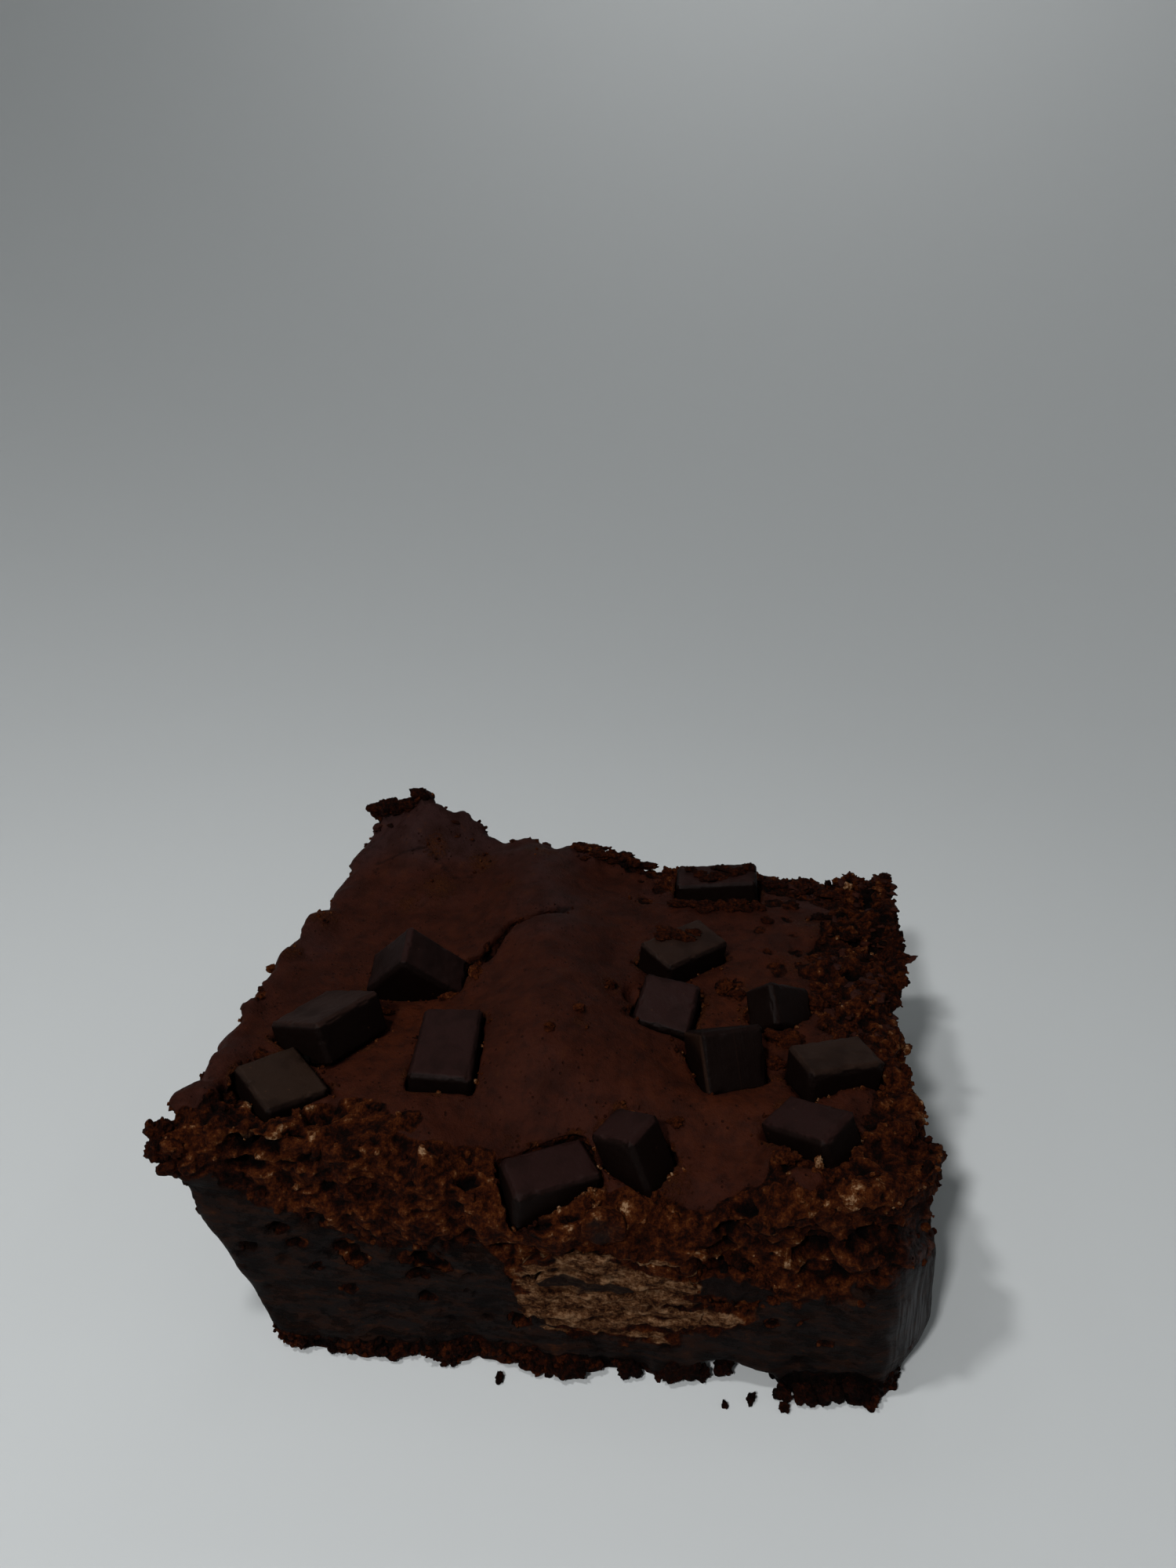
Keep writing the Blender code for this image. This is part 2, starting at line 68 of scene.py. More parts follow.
def looking_from(place, tilt, turn):
    """The matrix of a camera or lamp at place that looks down by tilt and left by turn."""
    ahead = Vector((
        -math.sin(turn) * math.cos(tilt),
        math.cos(turn) * math.cos(tilt),
        -math.sin(tilt),
    ))
    right = Vector((math.cos(turn), math.sin(turn), 0.0))
    up = right.cross(ahead)
    matrix = Matrix((right, up, -ahead)).transposed().to_4x4()
    matrix.translation = place
    return matrix


scene = bpy.context.scene
scene.view_settings.view_transform = "Standard"
camera = bpy.data.objects.new("camera", bpy.data.cameras.new("camera"))
scene.collection.objects.link(camera)
camera.data.lens = LENS
camera.data.sensor_width = SENSOR
camera.data.clip_start = 5.0 * MM
camera.matrix_world = looking_from(CAMERA_PLACE, CAMERA_TILT, CAMERA_TURN)
scene.camera = camera
print("camera looks down", round(math.degrees(CAMERA_TILT)), "degrees")

# %% [markdown]
# ## The floor
#
# The brownie stands in a wide pale bowl: a level floor that curves up into a wall all round. A
# plane with a backdrop would do for one picture, but the brownie is looked at from every side,
# and in a bowl no edge shows from any of them. Such a shape is one profile turned about the
# upright axis.

# %% Turn the pale bowl
FLOOR_RADIUS = 0.16
BEND_RADIUS = 0.75
WALL_HEIGHT = 1.3
BEND_STEPS = 24
TURN_STEPS = 96
FLOOR_COLOUR = (0.66, 0.685, 0.69, 1.0)


def bowl_profile():
    """Distances from the axis and heights, from the floor's rim to the top of the wall."""
    profile = []
    for step in range(BEND_STEPS + 1):
        angle = math.pi / 2.0 * step / BEND_STEPS
        profile.append((
            FLOOR_RADIUS + BEND_RADIUS * math.sin(angle),
            BEND_RADIUS * (1.0 - math.cos(angle)),
        ))
    profile.append((FLOOR_RADIUS + BEND_RADIUS, WALL_HEIGHT))
    return profile


def pale_bowl():
    """The profile turned about the upright axis, with the level floor inside its lowest ring."""
    bm = bmesh.new()
    angles = [2.0 * math.pi * turn / TURN_STEPS for turn in range(TURN_STEPS)]
    rings = []
    for radius, height in bowl_profile():
        ring = [(radius * math.cos(angle), radius * math.sin(angle), height) for angle in angles]
        rings.append([bm.verts.new(corner) for corner in ring])
    bm.faces.new(rings[0])
    for lower, upper in zip(rings, rings[1:]):
        for turn in range(TURN_STEPS):
            after = (turn + 1) % TURN_STEPS
            bm.faces.new((lower[turn], lower[after], upper[after], upper[turn]))
    bmesh.ops.recalc_face_normals(bm, faces=bm.faces)
    mesh = bpy.data.meshes.new("pale_bowl")
    bm.to_mesh(mesh)
    bm.free()
    mesh.shade_smooth()
    bowl = bpy.data.objects.new("pale_bowl", mesh)
    scene.collection.objects.link(bowl)
    return bowl


bowl = pale_bowl()
bowl_paint = bpy.data.materials.new("pale_bowl")
bowl_paint.use_nodes = True
bowl_shader = bowl_paint.node_tree.nodes["Principled BSDF"]
bowl_shader.inputs["Base Color"].default_value = FLOOR_COLOUR
bowl_shader.inputs["Roughness"].default_value = 0.75
bowl_shader.inputs["Specular IOR Level"].default_value = 0.2
bowl.data.materials.append(bowl_paint)
print("bowl faces", len(bowl.data.polygons))

# %% [markdown]
# ## The light
#
# Light is what makes dark chocolate readable, and in the photograph it is dim and soft. A single
# large lamp would be soft too, but it would wipe out the shadow at the right. So the main lamp is
# small and hangs high at the front left, a weaker one at the left gives that shadow, and one
# behind puts a faint sheen on the flat tops. The wall lamps light the curve of the bowl, and what
# the bowl throws back softens the rest.

# %% Hang the lamps
FOOD = (0.0, 0.0, 0.02)
# Each lamp's name, place, size and power
FOOD_LAMPS = (
    ("key_lamp", (-0.085, -0.30, 0.33), (0.035, 0.035), 0.90),
    ("side_lamp", (-0.14, -0.09, 0.40), (0.035, 0.035), 0.44),
    ("back_lamp", (-0.12, 0.12, 0.42), (0.10, 0.10), 0.04),
)
# Each wall lamp's side, the way out to it in plan, and its power
WALL_LAMPS = (
    ("back", (0.04, 1.0), 0.60),
    ("right", (1.0, 0.0), 0.42),
    ("front", (0.0, -1.0), 0.35),
    ("left", (-1.0, 0.0), 0.28),
)
WALL_LAMP_OUT = 0.55
WALL_LAMP_UP = 0.62
WALL_LAMP_SIZE = (0.30, 0.15)
WALL_SPOT_OUT = 0.80
WALL_SPOT_UP = 0.28
ROOM_COLOUR = (0.95, 0.98, 1.0, 1.0)
ROOM_LIGHT = 0.035


def soft_lamp(name, place, aim, size, power):
    """A flat lamp of this width and height in metres, at place, that shines at aim."""
    lamp = bpy.data.objects.new(name, bpy.data.lights.new(name, "AREA"))
    scene.collection.objects.link(lamp)
    lamp.data.shape = "RECTANGLE"
    lamp.data.size, lamp.data.size_y = size
    lamp.data.energy = power
    lamp.location = place
    lamp.rotation_euler = (Vector(aim) - Vector(place)).to_track_quat("-Z", "Y").to_euler()
    lamp.visible_camera = False
    return lamp


for name, place, size, power in FOOD_LAMPS:
    soft_lamp(name, place, FOOD, size, power)
for side, (away_x, away_y), power in WALL_LAMPS:
    hung = (WALL_LAMP_OUT * away_x, WALL_LAMP_OUT * away_y, WALL_LAMP_UP)
    aim = (WALL_SPOT_OUT * away_x, WALL_SPOT_OUT * away_y, WALL_SPOT_UP)
    soft_lamp("wall_lamp_" + side, hung, aim, WALL_LAMP_SIZE, power)
world = bpy.data.worlds.new("room")
scene.world = world
world.use_nodes = True
background = world.node_tree.nodes["Background"]
background.inputs["Color"].default_value = ROOM_COLOUR
background.inputs["Strength"].default_value = ROOM_LIGHT

# %% [markdown]
# ## A few helpers for painting with nodes
#
# Every finish here is a small graph: a pattern in millimetres, a ramp that turns it into colour,
# and a bump. Linking nodes one by one takes ten lines for each step of it. Writing the graph
# through helpers keeps each finish down to the lines that say something about chocolate or crumb.

# %% Give the nodes short names


class Paint:
    """A new material, with short names for the nodes that the finishes below use."""

    def __init__(self, name):
        self.material = bpy.data.materials.new(name)
        self.material.use_nodes = True
        self.tree = self.material.node_tree
        self.shader = self.tree.nodes["Principled BSDF"]
        place = self.node("ShaderNodeTexCoord")
        in_mm = self.node("ShaderNodeMapping")
        in_mm.inputs["Scale"].default_value = (1.0 / MM,) * 3
        self.link(place.outputs["Object"], in_mm.inputs["Vector"])
        self.millimetres = in_mm.outputs["Vector"]

    def node(self, kind):
        return self.tree.nodes.new(kind)

    def link(self, source, socket):
        self.tree.links.new(source, socket)

    def feed(self, value, socket):
        """Joins an output to a socket, or sets the socket to a plain value."""
        if isinstance(value, bpy.types.NodeSocket):
            self.link(value, socket)
        else:
            socket.default_value = value

    def attribute(self, name):
        reader = self.node("ShaderNodeAttribute")
        reader.attribute_name = name
        return reader.outputs["Fac"]

    def maths(self, operation, first, second=0.0, third=0.0):
        node = self.node("ShaderNodeMath")
        node.operation = operation
        for value, socket in zip((first, second, third), node.inputs):
            self.feed(value, socket)
        return node.outputs[0]

    def stretched(self, stretch):
        """The place in millimetres, divided by stretch along each axis."""
        node = self.node("ShaderNodeMapping")
        node.inputs["Scale"].default_value = [1.0 / factor for factor in stretch]
        self.link(self.millimetres, node.inputs["Vector"])
        return node.outputs["Vector"]

    def pattern(self, size, detail=3.0, rough=0.55, at=None):
        """Fractal noise between 0 and 1 whose largest features measure size."""
        node = self.node("ShaderNodeTexNoise")
        node.inputs["Scale"].default_value = 1.0 / size
        node.inputs["Detail"].default_value = detail
        node.inputs["Roughness"].default_value = rough
        self.link(self.millimetres if at is None else at, node.inputs["Vector"])
        return node.outputs["Fac"]

    def grains(self, size):
        """The distance to the nearest of many scattered points, size apart."""
        node = self.node("ShaderNodeTexVoronoi")
        node.inputs["Scale"].default_value = 1.0 / size
        self.link(self.millimetres, node.inputs["Vector"])
        return node.outputs["Distance"]

    def step(self, value, low, high, to_low=0.0, to_high=1.0):
        """Rises smoothly from to_low to to_high as value goes from low to high."""
        node = self.node("ShaderNodeMapRange")
        node.interpolation_type = "SMOOTHSTEP"
        self.link(value, node.inputs["Value"])
        ends = {"From Min": low, "From Max": high, "To Min": to_low, "To Max": to_high}
        for name, number in ends.items():
            node.inputs[name].default_value = number
        return node.outputs["Result"]

    def ramp(self, value, stops):
        """A colour for each value, from a few positions and their colours."""
        node = self.node("ShaderNodeValToRGB")
        stop_list = node.color_ramp.elements
        while len(stop_list) < len(stops):
            stop_list.new(1.0)
        for stop, (position, colour) in zip(stop_list, stops):
            stop.position = position
            stop.color = (*colour, 1.0)
        self.link(value, node.inputs["Fac"])
        return node.outputs["Color"]

    def mix(self, share, first, second):
        """A colour between first and second, either of which may be a plain one."""
        node = self.node("ShaderNodeMix")
        node.data_type = "RGBA"
        self.feed(share, node.inputs["Factor"])
        for value, socket in ((first, node.inputs["A"]), (second, node.inputs["B"])):
            self.feed(value if isinstance(value, bpy.types.NodeSocket) else (*value, 1.0), socket)
        return node.outputs["Result"]

    def blend(self, share, first, second):
        """A number between first and second."""
        node = self.node("ShaderNodeMix")
        node.data_type = "FLOAT"
        for value, name in ((share, "Factor"), (first, "A"), (second, "B")):
            self.feed(value, node.inputs[name])
        return node.outputs["Result"]

    def bump(self, height, depth_mm):
        node = self.node("ShaderNodeBump")
        node.inputs["Strength"].default_value = 1.0
        node.inputs["Distance"].default_value = depth_mm * MM
        self.link(height, node.inputs["Height"])
        self.link(node.outputs["Normal"], self.shader.inputs["Normal"])

    def finish(self, colour, rough, gloss):
        self.shader.inputs["Specular IOR Level"].default_value = gloss
        self.feed(colour, self.shader.inputs["Base Color"])
        self.feed(rough, self.shader.inputs["Roughness"])
        return self.material


print("node helpers", [name for name in vars(Paint) if not name.startswith("_")])

# %% [markdown]
# ## The skin on top
#
# One batter shows three faces: skin, torn crumb, and crumb that the knife has smeared. Three
# materials would meet in hard lines, so one material holds all three, each vertex will carry how
# much of each face it has, and the nodes only add what is finer than a vertex. The first face is
# the skin: smooth and matt, red-brown, with fine pores painted darker as painted shade, a painted
# grey sheen where it rises, and rust where it is scuffed. Each of these is one pattern that mixes
# in one more colour.

# %% Paint the skin
SKIN_RED = (0.0290, 0.0064, 0.0029)
SKIN_VALLEY = (0.0400, 0.0082, 0.0026)
# The grey of the painted sheen where the skin rises
SKIN_SHEEN_GREY = (0.0235, 0.0092, 0.0082)
SKIN_DARK = (0.0120, 0.0030, 0.0016)
SKIN_RUST = (0.0520, 0.0140, 0.0036)


def skin_paint(paint, fine, middle, broad):
    """The colour of the skin and the height of its fine relief."""
    skin = paint.mix(paint.attribute("valley"), SKIN_RED, SKIN_VALLEY)

    # Painted sheen: greyer where the skin rises, in clouds
    bloom = paint.maths("ADD", paint.attribute("bloom"), paint.maths("MULTIPLY_ADD", broad, 1.2, -0.60))
    skin = paint.mix(paint.step(bloom, 0.15, 0.85), skin, SKIN_SHEEN_GREY)

    # Mottling in two sizes, darker and rustier by turns
    mottle = paint.pattern(1.7, detail=6.0, rough=0.70)
    skin = paint.mix(paint.step(mottle, 0.54, 0.34, 0.0, 0.62), skin, SKIN_DARK)
    skin = paint.mix(paint.step(mottle, 0.56, 0.70, 0.0, 0.35), skin, SKIN_RUST)
    stains = paint.pattern(4.4, detail=5.0, rough=0.64)
    skin = paint.mix(paint.step(stains, 0.56, 0.38, 0.0, 0.50), skin, SKIN_DARK)

    # Pores, in some places only, painted darker: painted shade in them
    pores = paint.step(paint.grains(0.75), 0.10, 0.24, 0.9, 0.0)
    pores = paint.maths("MULTIPLY", pores, paint.step(middle, 0.46, 0.56))
    skin = paint.mix(pores, skin, SKIN_DARK)

    # Rust where the skin is scuffed, in fine grains that stand up
    rust = paint.maths("ADD", paint.attribute("rust"), paint.maths("MULTIPLY_ADD", fine, 1.1, -0.62))
    rust = paint.step(rust, 0.22, 0.62, 0.0, 0.85)
    skin = paint.mix(rust, skin, SKIN_RUST)
    height = paint.maths("MULTIPLY_ADD", fine, 0.35, paint.maths("MULTIPLY", mottle, 0.7))
    height = paint.maths("MULTIPLY_ADD", pores, -0.45, height)
    height = paint.maths("MULTIPLY_ADD", paint.maths("MULTIPLY", rust, fine), 0.8, height)
    return skin, height


print("the skin's red is %.1f times as light as its pores" % (SKIN_RED[0] / SKIN_DARK[0]))

# %% [markdown]
# ## The smear on the lower cut
#
# Low on the sides the knife dragged the moist crumb along and closed it: it is dark, greyish and
# streaked, with pits painted black as painted shade, and flecks of crumb left open. A noise that
# is stretched along the cut gives the streaks. The same noise can't also open the crumb, since it
# would do so in stripes, so a second one with shorter features does.

# %% Paint the smear
SMEAR_GREY = (0.0062, 0.0042, 0.0038)
SMEAR_BROWN = (0.0130, 0.0048, 0.0027)
SMEAR_FLECK = (0.0400, 0.0118, 0.0032)
# Near black for painted shade in hollows, holes, pits, cracks and gaps
PAINTED_SHADE_BLACK = (0.0012, 0.0004, 0.0003)


def smear_paint(paint, fine):
    """Streaks along the cut, with flecks of torn crumb left open and pits painted black, painted shade.
    """
    streaks = paint.pattern(0.9, detail=5.0, rough=0.66, at=paint.stretched((4.0, 4.0, 1.0)))
    smear = paint.mix(paint.step(streaks, 0.42, 0.62), SMEAR_GREY, SMEAR_BROWN)
    open_crumb = paint.pattern(1.5, detail=6.0, rough=0.74, at=paint.stretched((2.4, 2.4, 1.0)))
    smear = paint.mix(paint.step(open_crumb, 0.59, 0.68, 0.0, 0.62), smear, SMEAR_FLECK)
    # Painted shade: black in the pits of the smear
    smear = paint.mix(paint.step(open_crumb, 0.42, 0.35, 0.0, 0.80), smear, PAINTED_SHADE_BLACK)
    height = paint.maths("MULTIPLY_ADD", streaks, 0.6, paint.maths("MULTIPLY", fine, 0.5))
    return smear, paint.maths("MULTIPLY_ADD", paint.step(open_crumb, 0.38, 0.50), 1.0, height)


print("a fleck is %.1f times as light as the smear" % (SMEAR_FLECK[0] / SMEAR_GREY[0]))

# %% [markdown]
# ## Torn crumb, and the whole crumb put together
#
# Torn crumb is rough and orange-brown, near black in its holes and tan on its grains, partly as
# painted shade and painted light: its tone is darker where the mesh lies deep and lighter where it
# stands out. One ramp from black to tan is enough for it, read by one number: the tone that each
# vertex carries, broken up by finer grains. The milk chocolate has a ramp of its own, read in thin
# layers that the knife has drawn out, and at the right corner the blade has left a smooth strip
# with upright lines, painted pale grey as a painted reflection. The shares that the vertices carry
# then mix all of this, and a middle-sized noise makes the borders between them ragged. Painted
# shade goes over all of it, near black in hollows, holes, cracks and the gaps by the chunks.

# %% Paint the whole crumb
TORN_STOPS = (
    (0.10, (0.0015, 0.0005, 0.0003)),
    (0.34, (0.0056, 0.0013, 0.0005)),
    (0.50, (0.0175, 0.0032, 0.0007)),
    (0.66, (0.0400, 0.0078, 0.0014)),
    (0.82, (0.0740, 0.0185, 0.0036)),
    (0.95, (0.1500, 0.0640, 0.0250)),
    (1.00, (0.3000, 0.1700, 0.0900)),
)
MILK_STOPS = (
    (0.20, (0.0040, 0.0013, 0.0006)),
    (0.38, (0.0240, 0.0072, 0.0022)),
    (0.56, (0.0880, 0.0360, 0.0140)),
    (0.82, (0.2300, 0.1250, 0.0640)),
)
SLICE_DARK = (0.0072, 0.0046, 0.0040)
# Painted reflection on the smooth corner cut
STRIP_REFLECTION_GREY = (0.0640, 0.0640, 0.0660)
CRUMB_BUMP_DEPTH = 0.34


def crumb_paint():
    paint = Paint("baked_crumb")
    fine = paint.pattern(0.42, detail=4.0, rough=0.68)
    middle = paint.pattern(1.6, detail=3.0)
    broad = paint.pattern(9.0, detail=2.0)

    # Torn crumb: the tone of each grain, broken up by finer grains
    tone = paint.attribute("tone")
    torn_tone = paint.maths("ADD", tone, paint.maths("MULTIPLY_ADD", fine, 1.10, -0.55))
    torn_tone = paint.maths("ADD", torn_tone, paint.maths("MULTIPLY_ADD", middle, 0.60, -0.30))
    torn = paint.ramp(torn_tone, TORN_STOPS)
    fine_height = paint.maths("MULTIPLY", fine, 1.6)
    torn_height = paint.maths("MULTIPLY_ADD", paint.grains(0.7), -1.0, fine_height)
    skin, skin_height = skin_paint(paint, fine, middle, broad)
    smear, smear_height = smear_paint(paint, fine)

    # Milk chocolate: pale, in thin layers that the knife has drawn out
    layers = paint.pattern(0.9, detail=5.0, rough=0.78, at=paint.stretched((2.4, 2.4, 1.0)))
    layers = paint.maths("MULTIPLY_ADD", layers, 1.7, -0.35)
    milk_tone = paint.maths("ADD", layers, paint.maths("MULTIPLY_ADD", fine, 0.8, -0.40))
    milk_tone = paint.maths("MULTIPLY_ADD", tone, 0.35, paint.maths("ADD", milk_tone, -0.16))
    milk = paint.ramp(milk_tone, MILK_STOPS)

    # The faces mixed by their shares, with ragged borders
    ragged = paint.maths("MULTIPLY_ADD", middle, 0.7, -0.35)

    def share(name, raggedness=1.0):
        value = paint.maths("MULTIPLY_ADD", ragged, raggedness, paint.attribute(name))
        return paint.step(value, 0.38, 0.62)

    smear_share = share("smear")
    skin_share = share("skin")
    colour = paint.mix(smear_share, torn, smear)
    colour = paint.mix(share("milk", 0.8), colour, milk)
    colour = paint.mix(paint.maths("MULTIPLY", share("slice", 0.8), 0.92), colour, SLICE_DARK)
    colour = paint.mix(skin_share, colour, skin)
    # Painted shade: near black in hollows, holes, cracks and the gaps by the chunks
    colour = paint.mix(paint.maths("MULTIPLY", paint.attribute("hollow"), 0.85), colour, PAINTED_SHADE_BLACK)

    # The corner cut: a painted pale grey reflection, with lines that run up and down
    lines = paint.pattern(0.35, detail=3.0, at=paint.stretched((1.0, 1.0, 24.0)))
    strip = paint.maths("MULTIPLY", paint.attribute("strip"), paint.step(lines, 0.35, 0.65, 0.25, 1.0))
    colour = paint.mix(strip, colour, STRIP_REFLECTION_GREY)

    # Roughness and fine relief follow the same shares
    rough = paint.blend(smear_share, 0.88, 0.68)
    rough = paint.blend(skin_share, rough, paint.step(broad, 0.3, 0.7, 0.70, 0.60))
    height = paint.blend(smear_share, torn_height, smear_height)
    height = paint.blend(skin_share, height, skin_height)
    height = paint.blend(paint.attribute("strip"), height, lines)
    paint.bump(height, CRUMB_BUMP_DEPTH)
    return paint.finish(colour, rough, gloss=0.05)


CRUMB = crumb_paint()
print("crumb nodes", len(CRUMB.node_tree.nodes))

# %% [markdown]
# ## The finish of the dark chocolate
#
# Baked chunks keep their cut shape but lose their polish: a satin, almost black brown that is
# dusty along its worn edges, with tops painted lighter and greyer as a painted sheen of the light
# from above. The tops could have a material of their own, but the way a face points says which is
# a top, and gives a soft change. Two chunks were split by a blade and show its lines, and they are
# painted darker all over, painted shade. A pattern in space would run through them at any angle,
# so a number along the face is stored on them, and the lines follow that number.

# %% Paint the chocolate
CHOCOLATE_SIDE = (0.0036, 0.0013, 0.0008)
# Painted sheen: the lit tops, lighter and greyer than the sides
CHOCOLATE_LIT_TOP = (0.0160, 0.0060, 0.0051)
CHOCOLATE_LIT_OLIVE = (0.0200, 0.0105, 0.0068)
CHOCOLATE_DUST = (0.0520, 0.0230, 0.0130)
CHOCOLATE_BUMP_DEPTH = 0.12
BLADE_LINES_PER_MM = 1.1


def chocolate_paint():
    paint = Paint("dark_chocolate")
    fine = paint.pattern(0.30, detail=3.0)
    cloud = paint.pattern(3.5, detail=3.0)

    # Painted sheen: tops lighter and greyer, by the way the face points
    facing = paint.node("ShaderNodeNewGeometry")
    upright = paint.node("ShaderNodeSeparateXYZ")
    paint.link(facing.outputs["Normal"], upright.inputs["Vector"])
    top = paint.step(upright.outputs["Z"], 0.45, 0.95)
    tops = paint.mix(paint.attribute("olive"), CHOCOLATE_LIT_TOP, CHOCOLATE_LIT_OLIVE)
    tops = paint.mix(paint.step(cloud, 0.55, 0.35, 0.0, 0.4), tops, CHOCOLATE_SIDE)
    colour = paint.mix(top, CHOCOLATE_SIDE, tops)

    # Worn edges, and specks of dust
    chance = paint.maths("MULTIPLY_ADD", paint.pattern(1.1), 0.8, -0.5)
    edge = paint.maths("ADD", paint.attribute("edge"), chance)
    worn = paint.step(edge, 0.55, 1.00, 0.0, 0.50)
    colour = paint.mix(worn, colour, CHOCOLATE_DUST)
    dust = paint.step(paint.grains(1.3), 0.05, 0.11, 0.7, 0.0)
    dust = paint.maths("MULTIPLY", dust, paint.step(cloud, 0.52, 0.60))
    colour = paint.mix(dust, colour, CHOCOLATE_DUST)

    # The lines of the blade, on split chunks that are painted darker all over as painted shade
    blade = paint.node("ShaderNodeTexNoise")
    blade.noise_dimensions = "1D"
    blade.inputs["Scale"].default_value = BLADE_LINES_PER_MM
    blade.inputs["Detail"].default_value = 5.0
    paint.link(paint.attribute("blade"), blade.inputs["W"])
    cut = paint.step(paint.attribute("blade"), 0.5, 1.0)
    # Painted shade: the split chunks darkened towards the side colour
    colour = paint.mix(paint.maths("MULTIPLY", cut, 0.8), colour, CHOCOLATE_SIDE)
    lines = paint.maths("MULTIPLY", paint.step(blade.outputs["Fac"], 0.63, 0.69), cut)
    colour = paint.mix(paint.maths("MULTIPLY", lines, 0.24), colour, CHOCOLATE_DUST)

    height = paint.maths("MULTIPLY_ADD", fine, 0.35, paint.maths("MULTIPLY", cloud, 0.4))
    blade_height = paint.maths("MULTIPLY", blade.outputs["Fac"], cut)
    height = paint.maths("ADD", height, paint.maths("MULTIPLY", blade_height, 0.6))
    paint.bump(height, CHOCOLATE_BUMP_DEPTH)
    return paint.finish(colour, paint.step(cloud, 0.3, 0.7, 0.62, 0.50), gloss=0.055)


CHOCOLATE = chocolate_paint()
print("chocolate nodes", len(CHOCOLATE.node_tree.nodes))

# %% [markdown]
# ## Meshes fine enough to sculpt
#
# The solids are faceted, with faces up to 2 mm across, which is coarse for crumb. Subdividing
# them would give fine faces that are as uneven as the coarse ones. A voxel remesh lays an even
# skin of small faces over the same shape, whatever the solid's own faces are, and a few rounds
# of smoothing take the facets off.

# %% Turn the crumb into a fine mesh
CRUMB_VOXEL = 0.443
CRUMB_SMOOTHING = 4
LEVEL_BELOW = 0.03


def fine_mesh(node, name, voxel_mm, smooth_rounds):
    """A new object with an even, smoothed mesh over a node's own surface."""
    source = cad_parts[node]
    piece = bpy.data.objects.new(name, source.data.copy())
    piece.matrix_world = source.matrix_world
    scene.collection.objects.link(piece)
    remesh = piece.modifiers.new("even_faces", "REMESH")
    remesh.mode = "VOXEL"
    remesh.voxel_size = voxel_mm * MM
    smooth = piece.modifiers.new("soften", "SMOOTH")
    smooth.factor = 0.5
    smooth.iterations = smooth_rounds

    # The modifiers' result becomes the mesh, so that its points can be moved
    bpy.context.view_layer.update()
    graph = bpy.context.evaluated_depsgraph_get()
    piece.data = bpy.data.meshes.new_from_object(piece.evaluated_get(graph))
    piece.modifiers.clear()
    piece.data.name = name
    piece.data.materials.clear()
    piece.data.shade_smooth()
    return piece


def one_face_below(mesh):
    """Joins the thousands of level faces that the piece rests on into a few."""
    bm = bmesh.new()
    bm.from_mesh(mesh)
    level = [face for face in bm.faces if all(vert.co.z < LEVEL_BELOW * MM for vert in face.verts)]
    bmesh.ops.dissolve_faces(bm, faces=level, use_verts=False)
    inner = [vert for vert in bm.verts if not vert.link_faces]
    bmesh.ops.delete(bm, geom=inner, context="VERTS")
    bm.to_mesh(mesh)
    bm.free()
    mesh.shade_smooth()


crumb = fine_mesh("brownie", "brownie_crumb", CRUMB_VOXEL, CRUMB_SMOOTHING)
one_face_below(crumb.data)
print("crumb points", len(crumb.data.vertices), "faces", len(crumb.data.polygons))

# %% [markdown]
# ## A mesh as arrays of numbers
#
# Sculpting by hand can't be repeated, and a displacement modifier reads one texture. Held as
# plain arrays, the points can be pushed along their normals by any sum of patterns, and they can
# be asked how far they stand out from the surface round them, which later decides what is pale
# and what is dark. Values stored on the points are what the materials read.

# %% Hold the crumb's points in arrays


class Surface:
    """The points of a mesh in millimetres as arrays, with what the reliefs ask of them."""

    def __init__(self, mesh):
        self.mesh = mesh
        count = len(mesh.vertices)
        flat = np.empty(count * 3)
        mesh.vertices.foreach_get("co", flat)
        self.points = flat.reshape(count, 3) / MM
        pairs = np.empty(len(mesh.edges) * 2, dtype=np.int64)
        mesh.edges.foreach_get("vertices", pairs)
        self.ends = pairs.reshape(-1, 2)
        self.degree = np.bincount(self.ends.ravel(), minlength=count).astype(float)
        self.measure_normals()

    def measure_normals(self):
        count = len(self.points)
        flat = np.empty(count * 3)
        self.mesh.vertex_normals.foreach_get("vector", flat)
        self.normals = flat.reshape(count, 3)

    def spread(self, values, rounds):
        """Values averaged with their neighbours' this many times."""
        first, second = self.ends[:, 0], self.ends[:, 1]
        count = len(self.points)
        for _ in range(rounds):
            beside = np.bincount(first, values[second], count) + np.bincount(second, values[first], count)
            values = 0.5 * values + 0.5 * beside / self.degree
        return values

    def stand_out(self, rounds):
        """How far each point stands above the surface round it: negative in hollows."""
        level = np.stack([self.spread(self.points[:, axis], rounds) for axis in range(3)], axis=1)
        return ((self.points - level) * self.normals).sum(axis=1)

    def push(self, distance):
        self.move(self.normals * distance[:, None])

    def move(self, shift):
        self.points = self.points + shift
        self.mesh.vertices.foreach_set("co", (self.points * MM).ravel())
        self.mesh.update()
        self.measure_normals()

    def store(self, name, values):
        layer = self.mesh.attributes.new(name, "FLOAT", "POINT")
        layer.data.foreach_set("value", values.astype(np.float32))


surface = Surface(crumb.data)
print("neighbours of a point, on average", round(surface.degree.mean(), 1))

# %% [markdown]
# ## Patterns in space
#
# Blender's noise gives one smooth number for every place in space, so it needs no unwrapping and
# has no seams. A wave is that noise at a chosen length, and its absolute value makes curds, which
# are round on top with sharp creases between them, as baked crumb is. The other two helpers say
# where a pattern holds: above a limit, or near a place.

# %% Make the patterns


def wave(points, length, seed=0.0, stretch=(1.0, 1.0, 1.0)):
    """Smooth unevenness between about -1 and 1 at each point, with waves of this length."""
    scaled = points / (length * np.array(stretch)) + np.array((seed, -seed, 3.7 * seed))
    return np.array([noise.noise(place) for place in scaled.tolist()])


